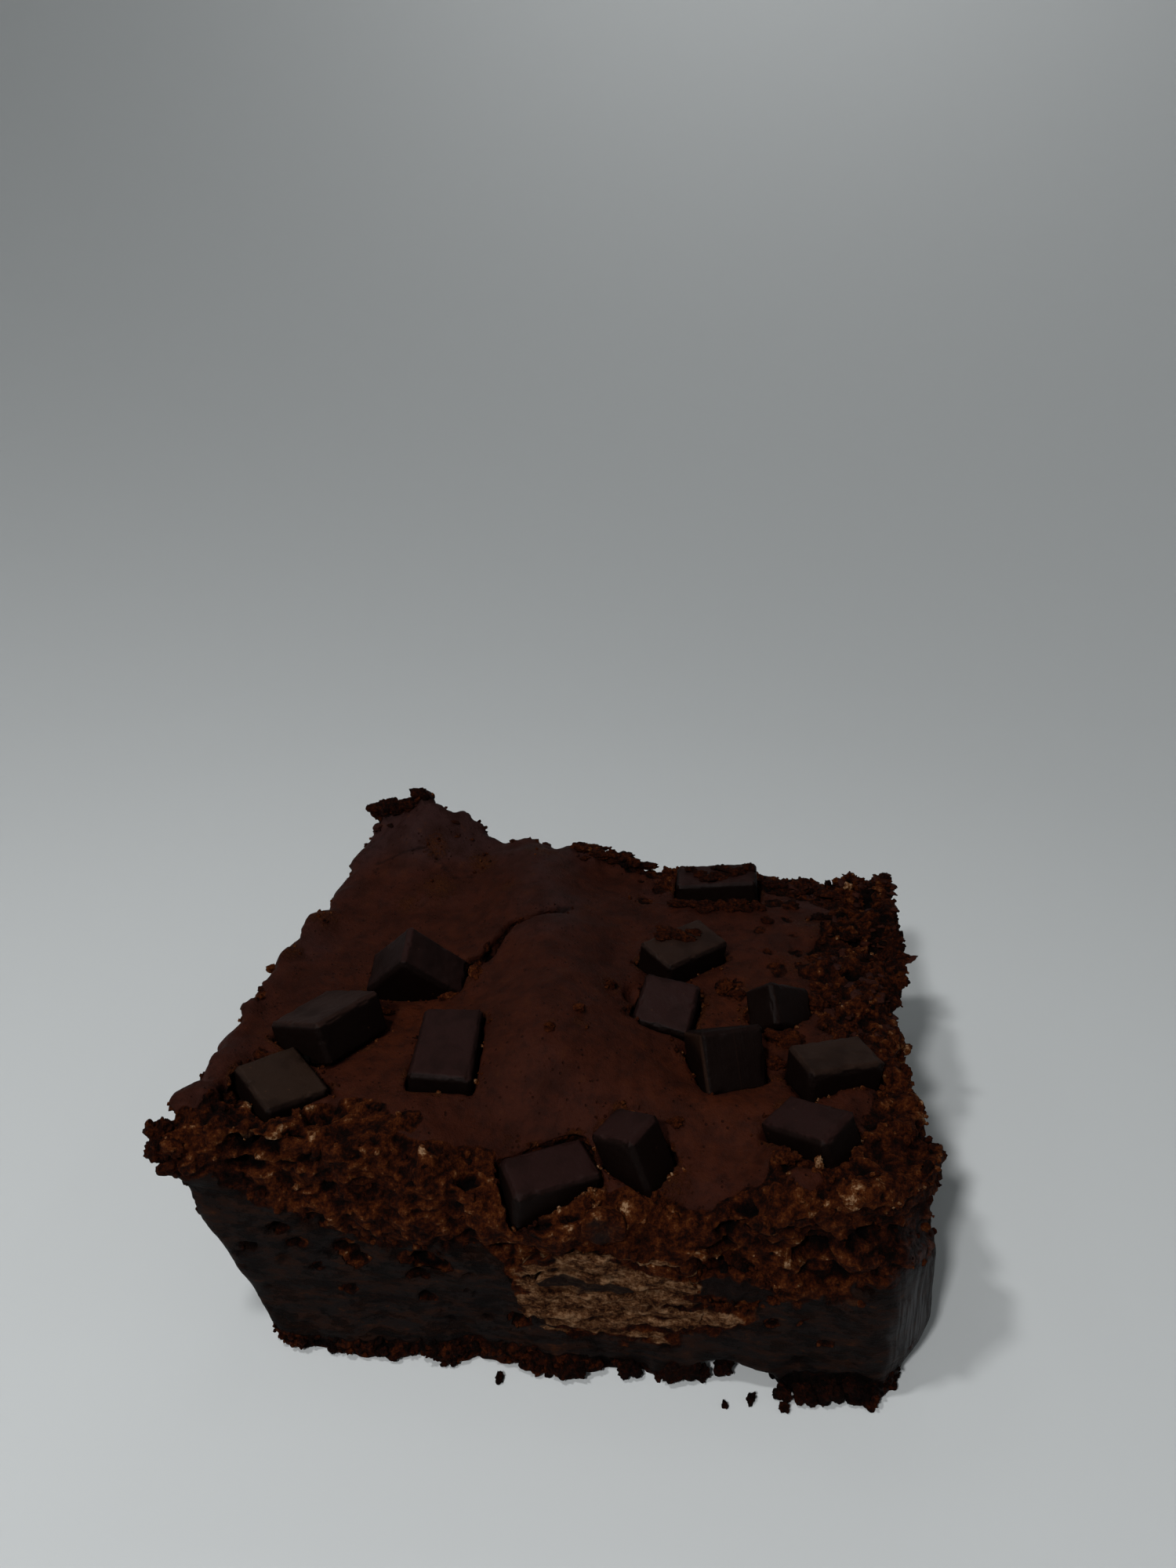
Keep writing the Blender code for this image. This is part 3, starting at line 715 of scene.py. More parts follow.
def curds(points, size, seed=0.0, stretch=(1.0, 1.0, 1.0)):
    """Rounded lumps of uneven size with creases between them, from about -0.5 to 1.5."""
    return 2.6 * np.abs(wave(points, size, seed, stretch)) - 0.5


def rise(low, high, values):
    """0 below low, 1 above high, and smooth between; works with low above high too."""
    share = np.clip((values - low) / (high - low), 0.0, 1.0)
    return share * share * (3.0 - 2.0 * share)


def near(points, centre, reach):
    """1 at centre, dying away over reach, which is one length or one for each axis."""
    return np.exp(-(((points - np.array(centre)) / reach) ** 2).sum(axis=1))


sample = wave(surface.points[::100], 5.0)
print("a wave of 5 mm runs from %.2f to %.2f" % (sample.min(), sample.max()))

# %% [markdown]
# ## Where the skin lies
#
# The skin covers the top up to a wandering line. A height or a noise alone couldn't say where,
# because the line follows what happened to this one brownie: it was pushed back behind the
# chunk at the front left, and torn away at the right and along the back. So its outline is given
# in plan, point by point, with the few spots inside it where the skin has come off.

# %% Draw the outline of the skin
SKIN_OUTLINE = (
    (-39.5, -31.5), (-36.0, -28.6), (-33.0, -25.8), (-28.0, -26.6), (-22.0, -24.3), (-18.2, -24.6),
    (-16.2, -25.7), (-14.4, -27.8), (-11.8, -28.3), (-8.2, -28.4), (-6.3, -26.6), (-5.0, -28.4),
    (0.9, -31.0), (6.2, -29.2), (10.8, -28.6), (13.5, -28.8), (16.2, -30.3), (19.2, -29.0),
    (21.5, -28.2), (22.5, -25.5), (27.0, -27.0), (31.0, -24.0), (33.0, -18.5), (34.2, -14.0),
    (33.8, -9.0), (30.0, -6.4), (28.4, -1.0), (29.0, 4.0), (29.6, 10.5), (31.0, 14.0),
    (32.8, 20.0), (32.5, 26.5), (21.5, 26.4), (9.5, 26.6), (3.5, 27.2), (-3.0, 29.4),
    (-10.0, 30.6), (-17.0, 31.4), (-24.0, 32.4), (-31.0, 33.5), (-36.0, 33.0), (-41.5, 30.0),
    (-42.0, 0.0), (-41.0, -20.0),
)
# Each bare spot's place in plan and its radius
BARE_SPOTS = (
    ((-37.6, -9.0), 1.6), ((-38.6, 2.0), 1.1), ((18.4, 0.6), 1.6), ((24.2, 22.5), 1.2),
    ((21.8, 14.0), 0.8), ((29.8, 4.0), 1.8), ((-14.2, -26.8), 1.6), ((24.2, 4.8), 1.1),
    ((-13.9, 1.2), 0.9), ((-11.6, 4.4), 0.8), ((-9.0, 8.2), 0.7), ((-5.0, 9.8), 0.6),
    ((8.6, 24.6), 1.4), ((6.4, 20.6), 0.9), ((4.4, -2.8), 0.8), ((26.4, 9.0), 0.8),
    ((23.0, 8.6), 0.7), ((25.8, 17.4), 0.9), ((16.4, 12.4), 0.6), ((-33.0, -19.0), 0.8),
)


def inside_outline(points, outline):
    """How far each point of the plan lies inside a closed outline, and below 0 outside it."""
    x, y, _ = points.T
    inside = np.zeros(len(points), dtype=bool)
    distance = np.full(len(points), 1e9)
    for (ax, ay), (bx, by) in zip(outline, outline[1:] + outline[:1]):
        across = bx - ax
        up = by - ay
        along = np.clip(((x - ax) * across + (y - ay) * up) / (across ** 2 + up ** 2), 0.0, 1.0)
        distance = np.minimum(distance, np.hypot(x - ax - along * across, y - ay - along * up))
        if ay != by:
            inside ^= ((ay > y) != (by > y)) & (x < across * (y - ay) / up + ax)
    return np.where(inside, distance, -distance)


in_plan = inside_outline(surface.points, SKIN_OUTLINE)
print("share of the points under the skin's outline %.2f" % (in_plan > 0.0).mean())

# %% [markdown]
# ## The smear and the milk chocolate on the cut
#
# The smear is everything on the cut sides between two lines: the fringe of crumbs along the
# foot, and a height that changes along the front. A mask painted on the mesh would be lost when
# the mesh changes, and two lines in x and z say the same. The milk chocolate is an oval with a
# tail to the right, pulled into streaks at its ends.

# %% Draw the lines of the cut
FRONT_FACE = -28.5
# Both lines are given as places along the front and heights
SMEAR_LINE = (
    (-42.0, 21.5), (-33.0, 20.4), (-29.0, 17.6), (-22.0, 14.8), (-15.6, 13.2), (-9.0, 14.2),
    (-4.5, 13.8), (-2.0, 9.0), (3.0, 5.6), (12.0, 5.0), (17.5, 7.0), (21.0, 9.6), (24.0, 11.6),
    (29.0, 12.4), (33.0, 14.2), (37.5, 17.0), (42.0, 17.0),
)
FRINGE_LINE = (
    (-42.0, 1.4), (-26.0, 2.0), (-10.0, 2.7), (4.0, 2.6), (9.0, 1.4), (24.0, 0.8), (27.0, 3.2),
    (36.0, 3.0),
)
MILK_MIDDLE = (6.2, 10.6)
MILK_HALF = (9.4, 5.6)
MILK_TAIL = (16.5, 8.8)
MILK_TAIL_HALF = (5.6, 1.5)


def milk_share(points):
    """How much milk chocolate shows at each point of the cut."""
    x, _, z = points.T
    body = 1.0 - np.hypot((x - MILK_MIDDLE[0]) / MILK_HALF[0], (z - MILK_MIDDLE[1]) / MILK_HALF[1])
    tail = 1.0 - np.hypot((x - MILK_TAIL[0]) / MILK_TAIL_HALF[0], (z - MILK_TAIL[1]) / MILK_TAIL_HALF[1])
    streaks = wave(points, 1.0, seed=51.0, stretch=(4.5, 4.5, 1.0))
    patches = wave(points, 2.4, seed=52.0, stretch=(1.8, 1.8, 1.0))
    core = np.maximum(body, 0.6 * tail) * 1.1
    return rise(-0.10, 0.30, core + 0.55 * streaks + 0.35 * patches + 0.02)


cut_points = surface.points[surface.points[:, 1] < FRONT_FACE]
print("points on the front cut", len(cut_points), "milk share %.2f" % milk_share(cut_points).mean())

# %% [markdown]
# ## The shares of each face
#
# Each point gets its share of skin, smear, milk chocolate and torn crumb, and torn crumb is what
# the others leave. The same unevenness is added to every border, so that it wanders instead of
# running straight. Where a hole was torn out of the cut, the smear is torn open round it as
# well. These holes catch the eye, so they are placed one by one and not left to noise.

# %% Work out the shares
# Each hole's place and its radius
HOLES = (
    ((-29.8, -30.8, 24.6), 1.5), ((-27.2, -31.2, 24.2), 1.1), ((-33.4, -25.4, 26.4), 1.4),
    ((-23.5, -26.9, 26.0), 1.2), ((-22.2, -25.8, 25.8), 1.1), ((-25.1, -30.0, 25.6), 0.9),
    ((-23.8, -31.0, 23.1), 0.9), ((-25.8, -31.3, 22.4), 0.8), ((20.0, -30.8, 21.9), 1.1),
    ((19.3, -31.6, 19.8), 1.3), ((18.0, -31.8, 17.6), 1.2), ((16.9, -31.3, 15.2), 0.9),
    ((26.6, -31.3, 18.1), 1.4), ((29.8, -32.4, 20.0), 0.9), ((32.0, -31.4, 20.8), 1.1),
    ((34.9, -30.4, 20.5), 0.9), ((32.5, -31.9, 24.0), 0.8), ((0.4, -33.1, 19.7), 0.9),
    ((3.0, -32.6, 20.4), 0.9), ((-7.1, -30.6, 22.2), 0.9), ((-3.9, -31.8, 15.0), 1.0),
    ((-12.6, -31.6, 12.2), 1.0), ((-10.6, -32.0, 11.8), 0.8), ((-12.5, -32.3, 10.3), 0.8),
    ((-20.5, -31.7, 12.5), 0.9), ((-19.2, -31.9, 11.5), 0.8), ((-23.4, -32.1, 10.0), 0.5),
    ((-20.1, -32.6, 7.8), 0.6), ((-11.8, -32.5, 7.7), 0.7), ((-2.4, -32.6, 5.9), 0.8),
    ((-27.2, -31.9, 14.6), 0.7), ((-25.7, -31.9, 12.9), 0.6), ((-30.2, -32.4, 12.4), 0.5),
    ((-22.1, -31.9, 15.0), 0.6), ((28.9, -32.0, 7.1), 0.5), ((23.4, -32.3, 8.8), 0.5),
    ((8.5, -32.6, 8.6), 0.4), ((2.0, -32.8, 9.4), 0.4), ((11.5, -32.2, 11.8), 0.5),
    ((-0.5, -32.6, 12.2), 0.5), ((31.0, -3.0, 25.6), 1.1), ((33.6, 5.0, 25.6), 1.3),
    ((32.2, 10.0, 25.6), 1.1), ((34.4, 14.5, 25.6), 1.2), ((33.4, 20.0, 25.4), 1.1),
    ((36.0, -8.0, 24.0), 1.0),
)
SKIN_FOLD = (25.4, -29.6, 24.8)
SKIN_FOLD_REACH = 1.8


def zones(points, facing):
    """The shares of skin, smear, milk chocolate and torn crumb at each point."""
    x, y, z = points.T
    unevenness = wave(points, 2.6, seed=3.0) + 0.6 * wave(points, 1.1, seed=8.0)
    skin = inside_outline(points, SKIN_OUTLINE) + unevenness

    # The skin is broken up at the right and bare in spots, and a scrap is folded over in front
    broken_up = 1.2 + 5.0 * rise(0.0, 0.5, wave(points, 2.4, seed=16.0))
    skin -= rise(21.0, 29.0, x) * rise(-12.0, -4.0, y) * broken_up
    for (px, py), reach in BARE_SPOTS:
        skin = np.minimum(skin, np.hypot(x - px, y - py) - reach + 0.9 * unevenness)
    skin = rise(-0.5, 0.5, skin) * rise(0.18, 0.50, facing[:, 2]) * rise(17.0, 19.0, z)
    folded = SKIN_FOLD_REACH - np.linalg.norm(points - np.array(SKIN_FOLD), axis=1) + 1.8 * unevenness
    skin = np.clip(np.maximum(skin, 0.85 * rise(-0.6, 0.6, folded)), 0.0, 1.0)

    # The smear lies between the fringe of crumbs and its upper line, on upright faces
    front = rise(-0.35, -0.65, facing[:, 1])
    low_line = np.interp(x, *zip(*SMEAR_LINE))
    low_line = front * low_line + (1.0 - front) * (15.0 + 3.0 * wave(points, 16.0, seed=6.0))
    fringe = front * np.interp(x, *zip(*FRINGE_LINE)) + (1.0 - front) * 1.5
    smear = rise(-2.2, 2.2, low_line - z + 1.8 * unevenness)
    smear *= rise(-0.4, 0.4, z - fringe + 0.7 * unevenness)
    smear *= rise(0.35, 0.6, np.hypot(facing[:, 0], facing[:, 1]))

    # Each hole tears the smear open, and the milk chocolate lies over it
    for centre, reach in HOLES:
        torn_open = near(points, centre, (2.1 * reach, 2.1 * reach, 1.2 * reach)) + 0.35 * unevenness
        smear *= 1.0 - 0.9 * rise(0.30, 0.60, torn_open)
    milk = milk_share(points) * front
    smear *= 1.0 - milk
    torn = np.clip(1.0 - skin - smear - milk, 0.0, 1.0)
    return {"skin": skin, "smear": smear, "milk": milk, "torn": torn}


facing = np.stack([surface.spread(surface.normals[:, axis], 8) for axis in range(3)], axis=1)
shares = zones(surface.points, facing)
print("shares", {name: round(float(share.mean()), 2) for name, share in shares.items()})

# %% [markdown]
# ## The relief of the crumb
#
# Torn crumb is curds on curds: rounded lumps of two sizes over slow swells, with creases between
# them and deep holes where a grain came away. The skin only undulates, and the smear is drawn out
# along the cut and pitted. A bump in the material would show none of this at the outline, so the
# points themselves are pushed. The holes are steep and ragged: each is a soft dip whose place is
# wobbled before it is measured. The pale ridges are placed one by one too.

# %% Push the crumb in and out
# Each ridge's place, its radius and how much paler it is
RIDGES = (
    ((-31.4, -26.6, 26.2), 0.8, 0.22), ((-28.9, -28.0, 26.6), 0.9, 0.26),
    ((-26.9, -30.2, 26.2), 0.8, 0.34), ((-26.6, -31.2, 24.4), 0.7, 0.30),
    ((-24.8, -26.0, 25.9), 0.6, 0.34), ((-25.2, -28.0, 26.3), 0.7, 0.22),
    ((-23.2, -29.7, 25.3), 0.6, 0.24), ((-17.9, -30.9, 25.2), 0.7, 0.24),
    ((-11.8, -30.0, 25.0), 0.7, 0.26), ((30.6, -31.5, 26.0), 1.1, 0.26),
    ((32.2, -30.5, 26.3), 1.1, 0.30), ((29.5, -32.0, 25.0), 0.7, 0.20),
    ((23.2, -32.0, 17.5), 0.6, 0.42), ((24.4, -32.4, 16.9), 0.6, 0.42),
    ((13.2, -30.0, 20.2), 0.7, 0.22), ((3.3, -33.0, 19.6), 0.5, 0.28),
    ((2.4, -33.4, 18.2), 0.5, 0.28), ((-2.6, -33.0, 19.6), 0.5, 0.26),
    ((0.4, -31.9, 15.2), 0.7, 0.24), ((-1.6, -32.0, 14.6), 0.7, 0.22),
    ((24.6, -26.4, 25.0), 0.5, 0.30), ((-35.0, 9.0, 26.9), 0.4, 0.35),
    ((-34.0, 8.6, 26.8), 0.4, 0.32), ((13.6, 11.6, 26.4), 0.4, 0.28),
    ((-8.4, -32.6, 21.6), 0.7, 0.24), ((18.5, -31.5, 9.2), 0.8, 0.30),
    ((21.0, -31.8, 9.0), 0.7, 0.28),
)
LIP_PLACE = (-39.0, -31.5, 25.0)
LIP_REACH = (2.6, 3.0, 3.0)
CALMER_BAND = ((5.5, -31.0, 19.5), (10.5, 5.0, 3.6), 0.55)
DROOPING = (1.35, 1.35, 0.85)


def relief(points, shares, facing):
    """How far the surface moves out at each point, in millimetres."""
    x, y, z = points.T

    # Torn crumb: two sizes of curd, crags, slow swells and deeper gaps, calmer at the lip
    coarse = curds(points, 2.3, seed=1.0, stretch=DROOPING)
    fine = curds(points, 1.05, seed=7.0, stretch=DROOPING)
    craggy = wave(points, 1.9, seed=11.0) + 0.7 * wave(points, 1.05, seed=13.0)
    craggy += 0.5 * wave(points, 0.7, seed=17.0)
    rough = 0.21 * coarse + 0.28 * fine + 0.38 * craggy + 0.30 * wave(points, 5.0, seed=2.0) - 0.22
    rough -= 0.5 * rise(0.30, 0.60, wave(points, 2.6, seed=12.0)) * rise(1.0, 4.0, z)
    rough -= 0.22 * coarse * rise(20.0, 28.0, x) * rise(-14.0, -4.0, y)
    centre, reach, calm = CALMER_BAND
    push = shares["torn"] * rough * (1.0 - calm * near(points, centre, reach))
    push *= 1.0 - 0.7 * near(points, LIP_PLACE, LIP_REACH)

    # Skin: low waves. Smear: streaks and pits. Milk chocolate: thin layers
    push += shares["skin"] * (0.12 * wave(points, 3.6, seed=4.0) + 0.09 * wave(points, 1.2, seed=5.0))
    pits = wave(points, 1.5, seed=14.0, stretch=(1.9, 1.9, 0.8)) + 0.4 * wave(points, 0.8, seed=15.0)
    pits = rise(0.40, 0.56, pits) * rise(-0.10, 0.35, wave(points, 5.5, seed=18.0))
    cut_face = rise(0.45, 0.15, np.abs(facing[:, 0]))
    push += shares["smear"] * (
        0.05 * wave(points, 1.1, seed=6.0, stretch=(5.0, 5.0, 1.0))
        + cut_face * (0.06 * wave(points, 1.0, seed=9.0, stretch=(2.2, 2.2, 0.9)) - 0.55 * pits)
    )
    thin_layers = wave(points, 0.9, seed=10.0, stretch=(2.4, 2.4, 0.9))
    push += shares["milk"] * (0.30 * thin_layers + 0.26 * fine - 0.6 * pits)

    # Holes and ridges, with wobbly outlines
    wobble = 0.45 * np.stack([wave(points, 0.9, seed=61.0 + axis) for axis in range(3)], axis=1)
    for centre, reach in HOLES:
        depth = near(points + 1.3 * reach * wobble, centre, (reach * 1.3, reach, reach * 0.8))
        push -= 1.30 * reach * rise(0.15, 0.70, depth)
    for centre, reach, _ in RIDGES:
        push += 0.5 * reach * near(points + reach * wobble, centre, reach)
    return push * rise(0.0, 1.2, z)


push = relief(surface.points, shares, facing)
already_out = rise(0.05, 0.45, surface.stand_out(24))
push = np.where(push > 0.0, push * (1.0 - 0.65 * already_out), push)
surface.push(push)
print("relief from %.2f to %.2f mm" % (push.min(), push.max()))

# %% [markdown]
# ## Small corrections of the outline
#
# The outline is what the eye checks first, and a noise puts its bumps in other places than the
# real crumb does. Moving the solid for a millimetre here and there would be a lot of work for
# little. So a few places are nudged, most of them by less than a millimetre and none by more than
# 1.8, each fading out over a few millimetres: the left edge, the lip, the raised corner, the
# right rim and the foot.

# %% Nudge the outline
# Each nudge's place, how far it reaches along each axis, and its shift
NUDGES = (
    ((-36.5, -31.0, 12.0), (4.0, 5.0, 6.5), (-0.60, -0.10, 0.0)),
    ((-39.0, -31.0, 19.8), (3.2, 4.0, 2.6), (-1.70, 0.00, -0.3)),
    ((-40.0, -14.0, 26.0), (3.0, 8.0, 4.0), (-0.75, 0.00, 0.3)),
    ((-40.0, -20.0, 26.0), (3.0, 3.0, 4.0), (-0.45, 0.00, 0.0)),
    ((-40.0, -12.5, 26.5), (3.0, 2.2, 4.0), (0.35, 0.00, 0.0)),
    ((-40.0, -5.5, 26.5), (3.0, 2.8, 4.0), (-0.50, 0.00, 0.0)),
    ((-40.0, 2.0, 26.5), (3.0, 6.0, 4.0), (-0.65, 0.00, 0.3)),
    ((-40.0, 7.5, 26.8), (3.0, 2.2, 4.0), (0.40, 0.00, 0.0)),
    ((-40.0, 13.5, 27.0), (3.0, 3.0, 4.0), (-0.50, 0.00, 0.0)),
    ((-39.0, 22.0, 30.0), (3.0, 6.0, 5.0), (-0.70, 0.00, 0.4)),
    ((-37.0, 31.0, 33.0), (3.5, 3.0, 3.0), (-0.60, 0.20, 0.5)),
    ((-32.4, 32.0, 32.0), (2.6, 2.6, 3.0), (-0.20, 0.20, 1.7)),
    ((-11.5, 30.5, 30.0), (3.0, 3.0, 3.0), (0.00, 0.00, -1.0)),
    ((3.0, 28.5, 27.5), (5.0, 2.4, 3.0), (0.00, 0.00, 1.5)),
    ((39.5, -29.0, 7.0), (4.0, 5.0, 6.0), (0.45, -0.10, 0.0)),
    ((41.0, -28.0, 18.0), (3.0, 4.0, 4.0), (0.15, 0.00, 0.0)),
    ((40.8, -27.5, 24.3), (3.4, 3.4, 2.8), (-1.70, 0.00, 0.0)),
    ((39.8, -21.0, 25.5), (2.6, 2.2, 2.6), (1.20, 0.00, 0.3)),
    ((41.0, 26.0, 22.0), (3.0, 5.0, 5.0), (0.50, 0.00, 0.0)),
    ((-17.0, -33.0, 1.0), (9.0, 3.0, 3.0), (0.00, -0.75, 0.0)),
    ((-33.0, -33.0, 0.5), (4.0, 3.0, 2.4), (0.50, 0.40, 0.0)),
    ((8.0, -33.0, 1.0), (5.0, 3.0, 3.0), (0.00, 0.60, 0.0)),
)
nudge = np.zeros_like(surface.points)
for centre, reach, shift in NUDGES:
    nudge += near(surface.points, centre, reach)[:, None] * np.array(shift)
surface.move(nudge)
print("largest nudge %.2f mm" % np.linalg.norm(nudge, axis=1).max())

# %% [markdown]
# ## The tone of each grain
#
# A grain's colour depends on how far it stands out, which is painted light and shade: lighter where
# it stands out and darker where it lies deep. It depends on chance too, and on where it sits: the
# heart of the front is the most orange, the right side is darker, and the foot is nearly black,
# partly as painted shade under the overhang. A noise in the material couldn't know where the mesh
# has its hollows, so the depths are read from the mesh itself. All of it goes into one number per
# vertex, which the ramp of the torn crumb reads, and a second number holds the painted shade in
# deep hollows and in every hole.

# %% Tell light grains from dark ones
# Each spot's place, its reach along each axis and how much it changes the tone
LIGHTER_SPOTS = (
    ((-12.0, -31.5, 20.0), (13.0, 5.0, 4.5), 0.10), ((8.0, -30.5, 20.5), (8.0, 4.0, 2.2), 0.16),
    ((28.0, -32.0, 24.5), (4.0, 4.0, 2.0), 0.12), ((8.0, -32.5, 16.6), (9.0, 3.0, 1.8), 0.10),
    ((-32.0, -29.5, 25.4), (4.5, 4.0, 2.0), 0.04), ((37.0, -8.0, 25.0), (3.4, 14.0, 5.0), 0.12),
    ((-37.5, -31.0, 25.0), (4.0, 3.0, 4.0), 0.06), ((-34.5, 9.0, 27.0), (3.0, 3.0, 2.0), 0.10),
    ((24.0, -32.4, 16.5), (4.0, 3.0, 2.0), 0.10), ((22.0, -31.8, 9.5), (3.0, 2.0, 1.8), 0.12),
)
# Darker spots: those along the foot are painted shade under the overhang, the others only make the tone
# darker
DARKER_SPOTS = (
    ((30.0, -33.0, 1.5), (8.0, 4.0, 3.6), 0.30), ((19.0, -32.0, 1.0), (8.0, 5.0, 3.5), 0.34),
    ((34.0, 18.0, 25.5), (7.0, 10.0, 4.0), 0.02), ((40.5, 17.0, 20.0), (3.0, 16.0, 10.0), 0.16),
    ((20.0, -31.0, 19.5), (4.0, 3.0, 3.4), 0.10), ((33.5, -31.0, 20.0), (5.0, 3.0, 2.4), 0.12),
    ((-37.0, -31.5, 18.6), (5.5, 3.0, 2.4), 0.14), ((-10.0, -33.0, 0.8), (30.0, 4.0, 2.2), 0.13),
    ((-34.0, -27.0, 26.5), (3.5, 2.6, 1.2), 0.10),
)
TONE_LIMIT = 0.84


def tones(surface):
    """The tone of each point, with painted light and shade from how far it stands out, and the painted
    shade in hollows and holes.
    """
    points = surface.points
    out_far = surface.stand_out(14)
    out_near = surface.stand_out(3)
    chance = 0.5 * wave(points, 1.7, seed=21.0) + 0.35 * wave(points, 5.0, seed=22.0)
    # Painted light and shade: the tone is lighter where a point stands out and darker where it lies deep
    tone = 0.50 + 0.26 * out_far + 0.6 * out_near + 0.34 * chance + 0.12 * wave(points, 0.9, seed=23.0)
    tone = np.minimum(tone, TONE_LIMIT)
    for centre, reach, amount in LIGHTER_SPOTS:
        tone += amount * near(points, centre, reach)
    for centre, reach, amount in DARKER_SPOTS:
        tone -= amount * near(points, centre, reach)
    for centre, reach, amount in RIDGES:
        tone += amount * near(points, centre, reach * 0.9)

    # Painted shade: wherever the surface lies deep, and inside every hole
    hollow = rise(-0.10, -0.55, out_far)
    for centre, reach in HOLES:
        depth = near(points + 0.7 * reach * chance[:, None], centre, (reach * 1.2, reach, reach * 0.7))
        hollow = np.maximum(hollow, rise(0.20, 0.60, depth))
    return np.clip(tone, 0.0, 1.0), np.clip(hollow, 0.0, 1.0)


tone, hollow = tones(surface)
print("mean tone %.2f, mean hollow %.2f" % (tone.mean(), hollow.mean()))

# %% [markdown]
# ## The shades of the skin
#
# The skin has a painted grey sheen where it rises towards the back and the raised corner, is redder
# in the dips by the chunks, and is rusty where it was scuffed. Noise makes such patches evenly, and
# here the rust sits where the brownie was handled. So they are placed one by one, and the material
# makes them ragged.

# %% Shade the skin
# Each patch's place in plan, its radius and how rusty it is
RUSTY_PATCHES = (
    ((-36.0, 9.0), 3.2, 0.55), ((-37.0, 0.3), 2.4, 0.5), ((-22.0, 18.0), 3.6, 0.55),
    ((-25.6, 14.4), 2.6, 0.5), ((-11.9, 16.8), 2.2, 0.5), ((5.8, 20.4), 2.6, 0.45),
    ((-24.0, 24.2), 2.6, 0.55), ((-17.0, 23.8), 3.0, 0.55), ((-9.0, 26.0), 3.4, 0.5),
    ((4.2, -3.0), 2.4, 0.5), ((19.0, 0.2), 2.6, 0.55), ((24.2, -8.0), 2.4, 0.6),
    ((27.0, 6.0), 5.0, 0.45), ((30.0, 16.0), 5.0, 0.45), ((22.0, 22.0), 4.0, 0.4),
    ((30.0, -9.0), 3.0, 0.4), ((-14.2, -2.0), 2.6, 0.45), ((-12.8, -9.0), 1.6, 0.4),
    ((-24.0, -8.6), 2.4, 0.4), ((1.8, -13.0), 1.5, 0.5), ((26.0, -26.0), 4.0, 0.65),
    ((-18.0, -23.0), 3.6, 0.35), ((12.0, -27.0), 3.5, 0.5), ((-3.5, -25.5), 2.4, 0.3),
)


def skin_shades(points):
    """Where the skin gets its painted grey sheen, where it is redder and where it is rusty."""
    x, y, z = points.T
    # Painted sheen: greyer where the skin rises, towards the back, at the left and on the raised corner
    bloom = 0.75 * rise(27.0, 32.0, z) * rise(-8.0, 14.0, y)
    bloom += 0.35 * rise(-30.0, -36.0, x) + 0.25 * rise(10.0, 24.0, y) + 0.4 * rise(30.0, 34.0, z)
    valley = near(points, (-19.0, -10.0, 25.0), (8.0, 12.0, 6.0))
    valley += near(points, (17.0, -16.0, 25.0), (9.0, 11.0, 6.0))
    valley += 0.6 * near(points, (21.0, 0.0, 25.0), (8.0, 8.0, 6.0))
    rust = 0.10 * rise(24.0, 32.0, x)
    for (px, py), reach, amount in RUSTY_PATCHES:
        rust = np.maximum(rust, amount * np.exp(-((x - px) ** 2 + (y - py) ** 2) / reach ** 2))
    return {"bloom": np.clip(bloom, 0.0, 1.0), "valley": np.clip(valley, 0.0, 1.0), "rust": rust}


shades = skin_shades(surface.points)
print("mean shades", {name: round(float(shade.mean()), 2) for name, shade in shades.items()})

# %% [markdown]
# ## Round the chunks and along the cracks
#
# The skin tore where the chunks came up through it: it is rusty beside them, and painted black
# right where it meets them, painted shade in the gap. A crack runs from the roof-shaped chunk
# towards the back, and a fold lies in front of the raised corner, and both get painted shade along
# them. Both kinds of place are found by distance: to the nearest chunk, which a search tree gives,
# and to a line that is drawn in plan.

# %% Mark the borders and the cracks
CRACK_LINE = (
    (-15.6, -0.6), (-14.0, 1.2), (-12.2, 2.2), (-11.2, 5.4), (-10.0, 7.8), (-6.3, 9.0), (-3.0, 10.8)
)
FOLD_LINE = (
    (-32.4, 21.8), (-29.1, 22.7), (-25.4, 23.8), (-23.1, 22.4), (-20.7, 20.1), (-18.1, 20.7)
)
# Each crack's line, its half width and how dark its painted shade is
CRACKS = ((CRACK_LINE, 0.75, 1.0), (FOLD_LINE, 0.24, 0.7))
CHUNKS = [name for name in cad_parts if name.startswith("chunk_")]


def search_tree(meshes):
    """All these meshes in one tree, in millimetres, to measure distances and cast rays."""
    corners = []
    faces = []
    for mesh in meshes:
        start = len(corners)
        corners += [vert.co / MM for vert in mesh.vertices]
        faces += [[start + index for index in face.vertices] for face in mesh.polygons]
    return BVHTree.FromPolygons(corners, faces)


def distance_to(nodes, points):
    """How far each point is from the nearest of these solids."""
    tree = search_tree([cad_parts[name].data for name in nodes])
    return np.array([tree.find_nearest(point)[3] for point in points.tolist()])


def distance_to_line(points, line):
    """How far each point is from a line of straight stretches, in plan."""
    nearest = np.full(len(points), 1e9)
    for start, end in zip(np.array(line), np.array(line)[1:]):
        stretch = end - start
        along = np.clip(((points[:, :2] - start) @ stretch) / (stretch ** 2).sum(), 0.0, 1.0)
        foot = start + along[:, None] * stretch
        nearest = np.minimum(nearest, np.linalg.norm(points[:, :2] - foot, axis=1))
    return nearest


to_chunk = distance_to(CHUNKS, surface.points)
by_chunk = rise(1.8, 0.6, to_chunk) * rise(-0.3, 0.3, wave(surface.points, 2.2, seed=24.0))
shades["rust"] = np.maximum(shades["rust"], 0.6 * by_chunk)
# Painted shade: near black where the skin meets a chunk
hollow = np.maximum(hollow, 0.8 * rise(0.50, 0.15, to_chunk) * shares["skin"])
ragged_line = 0.5 * wave(surface.points, 1.1, seed=25.0)
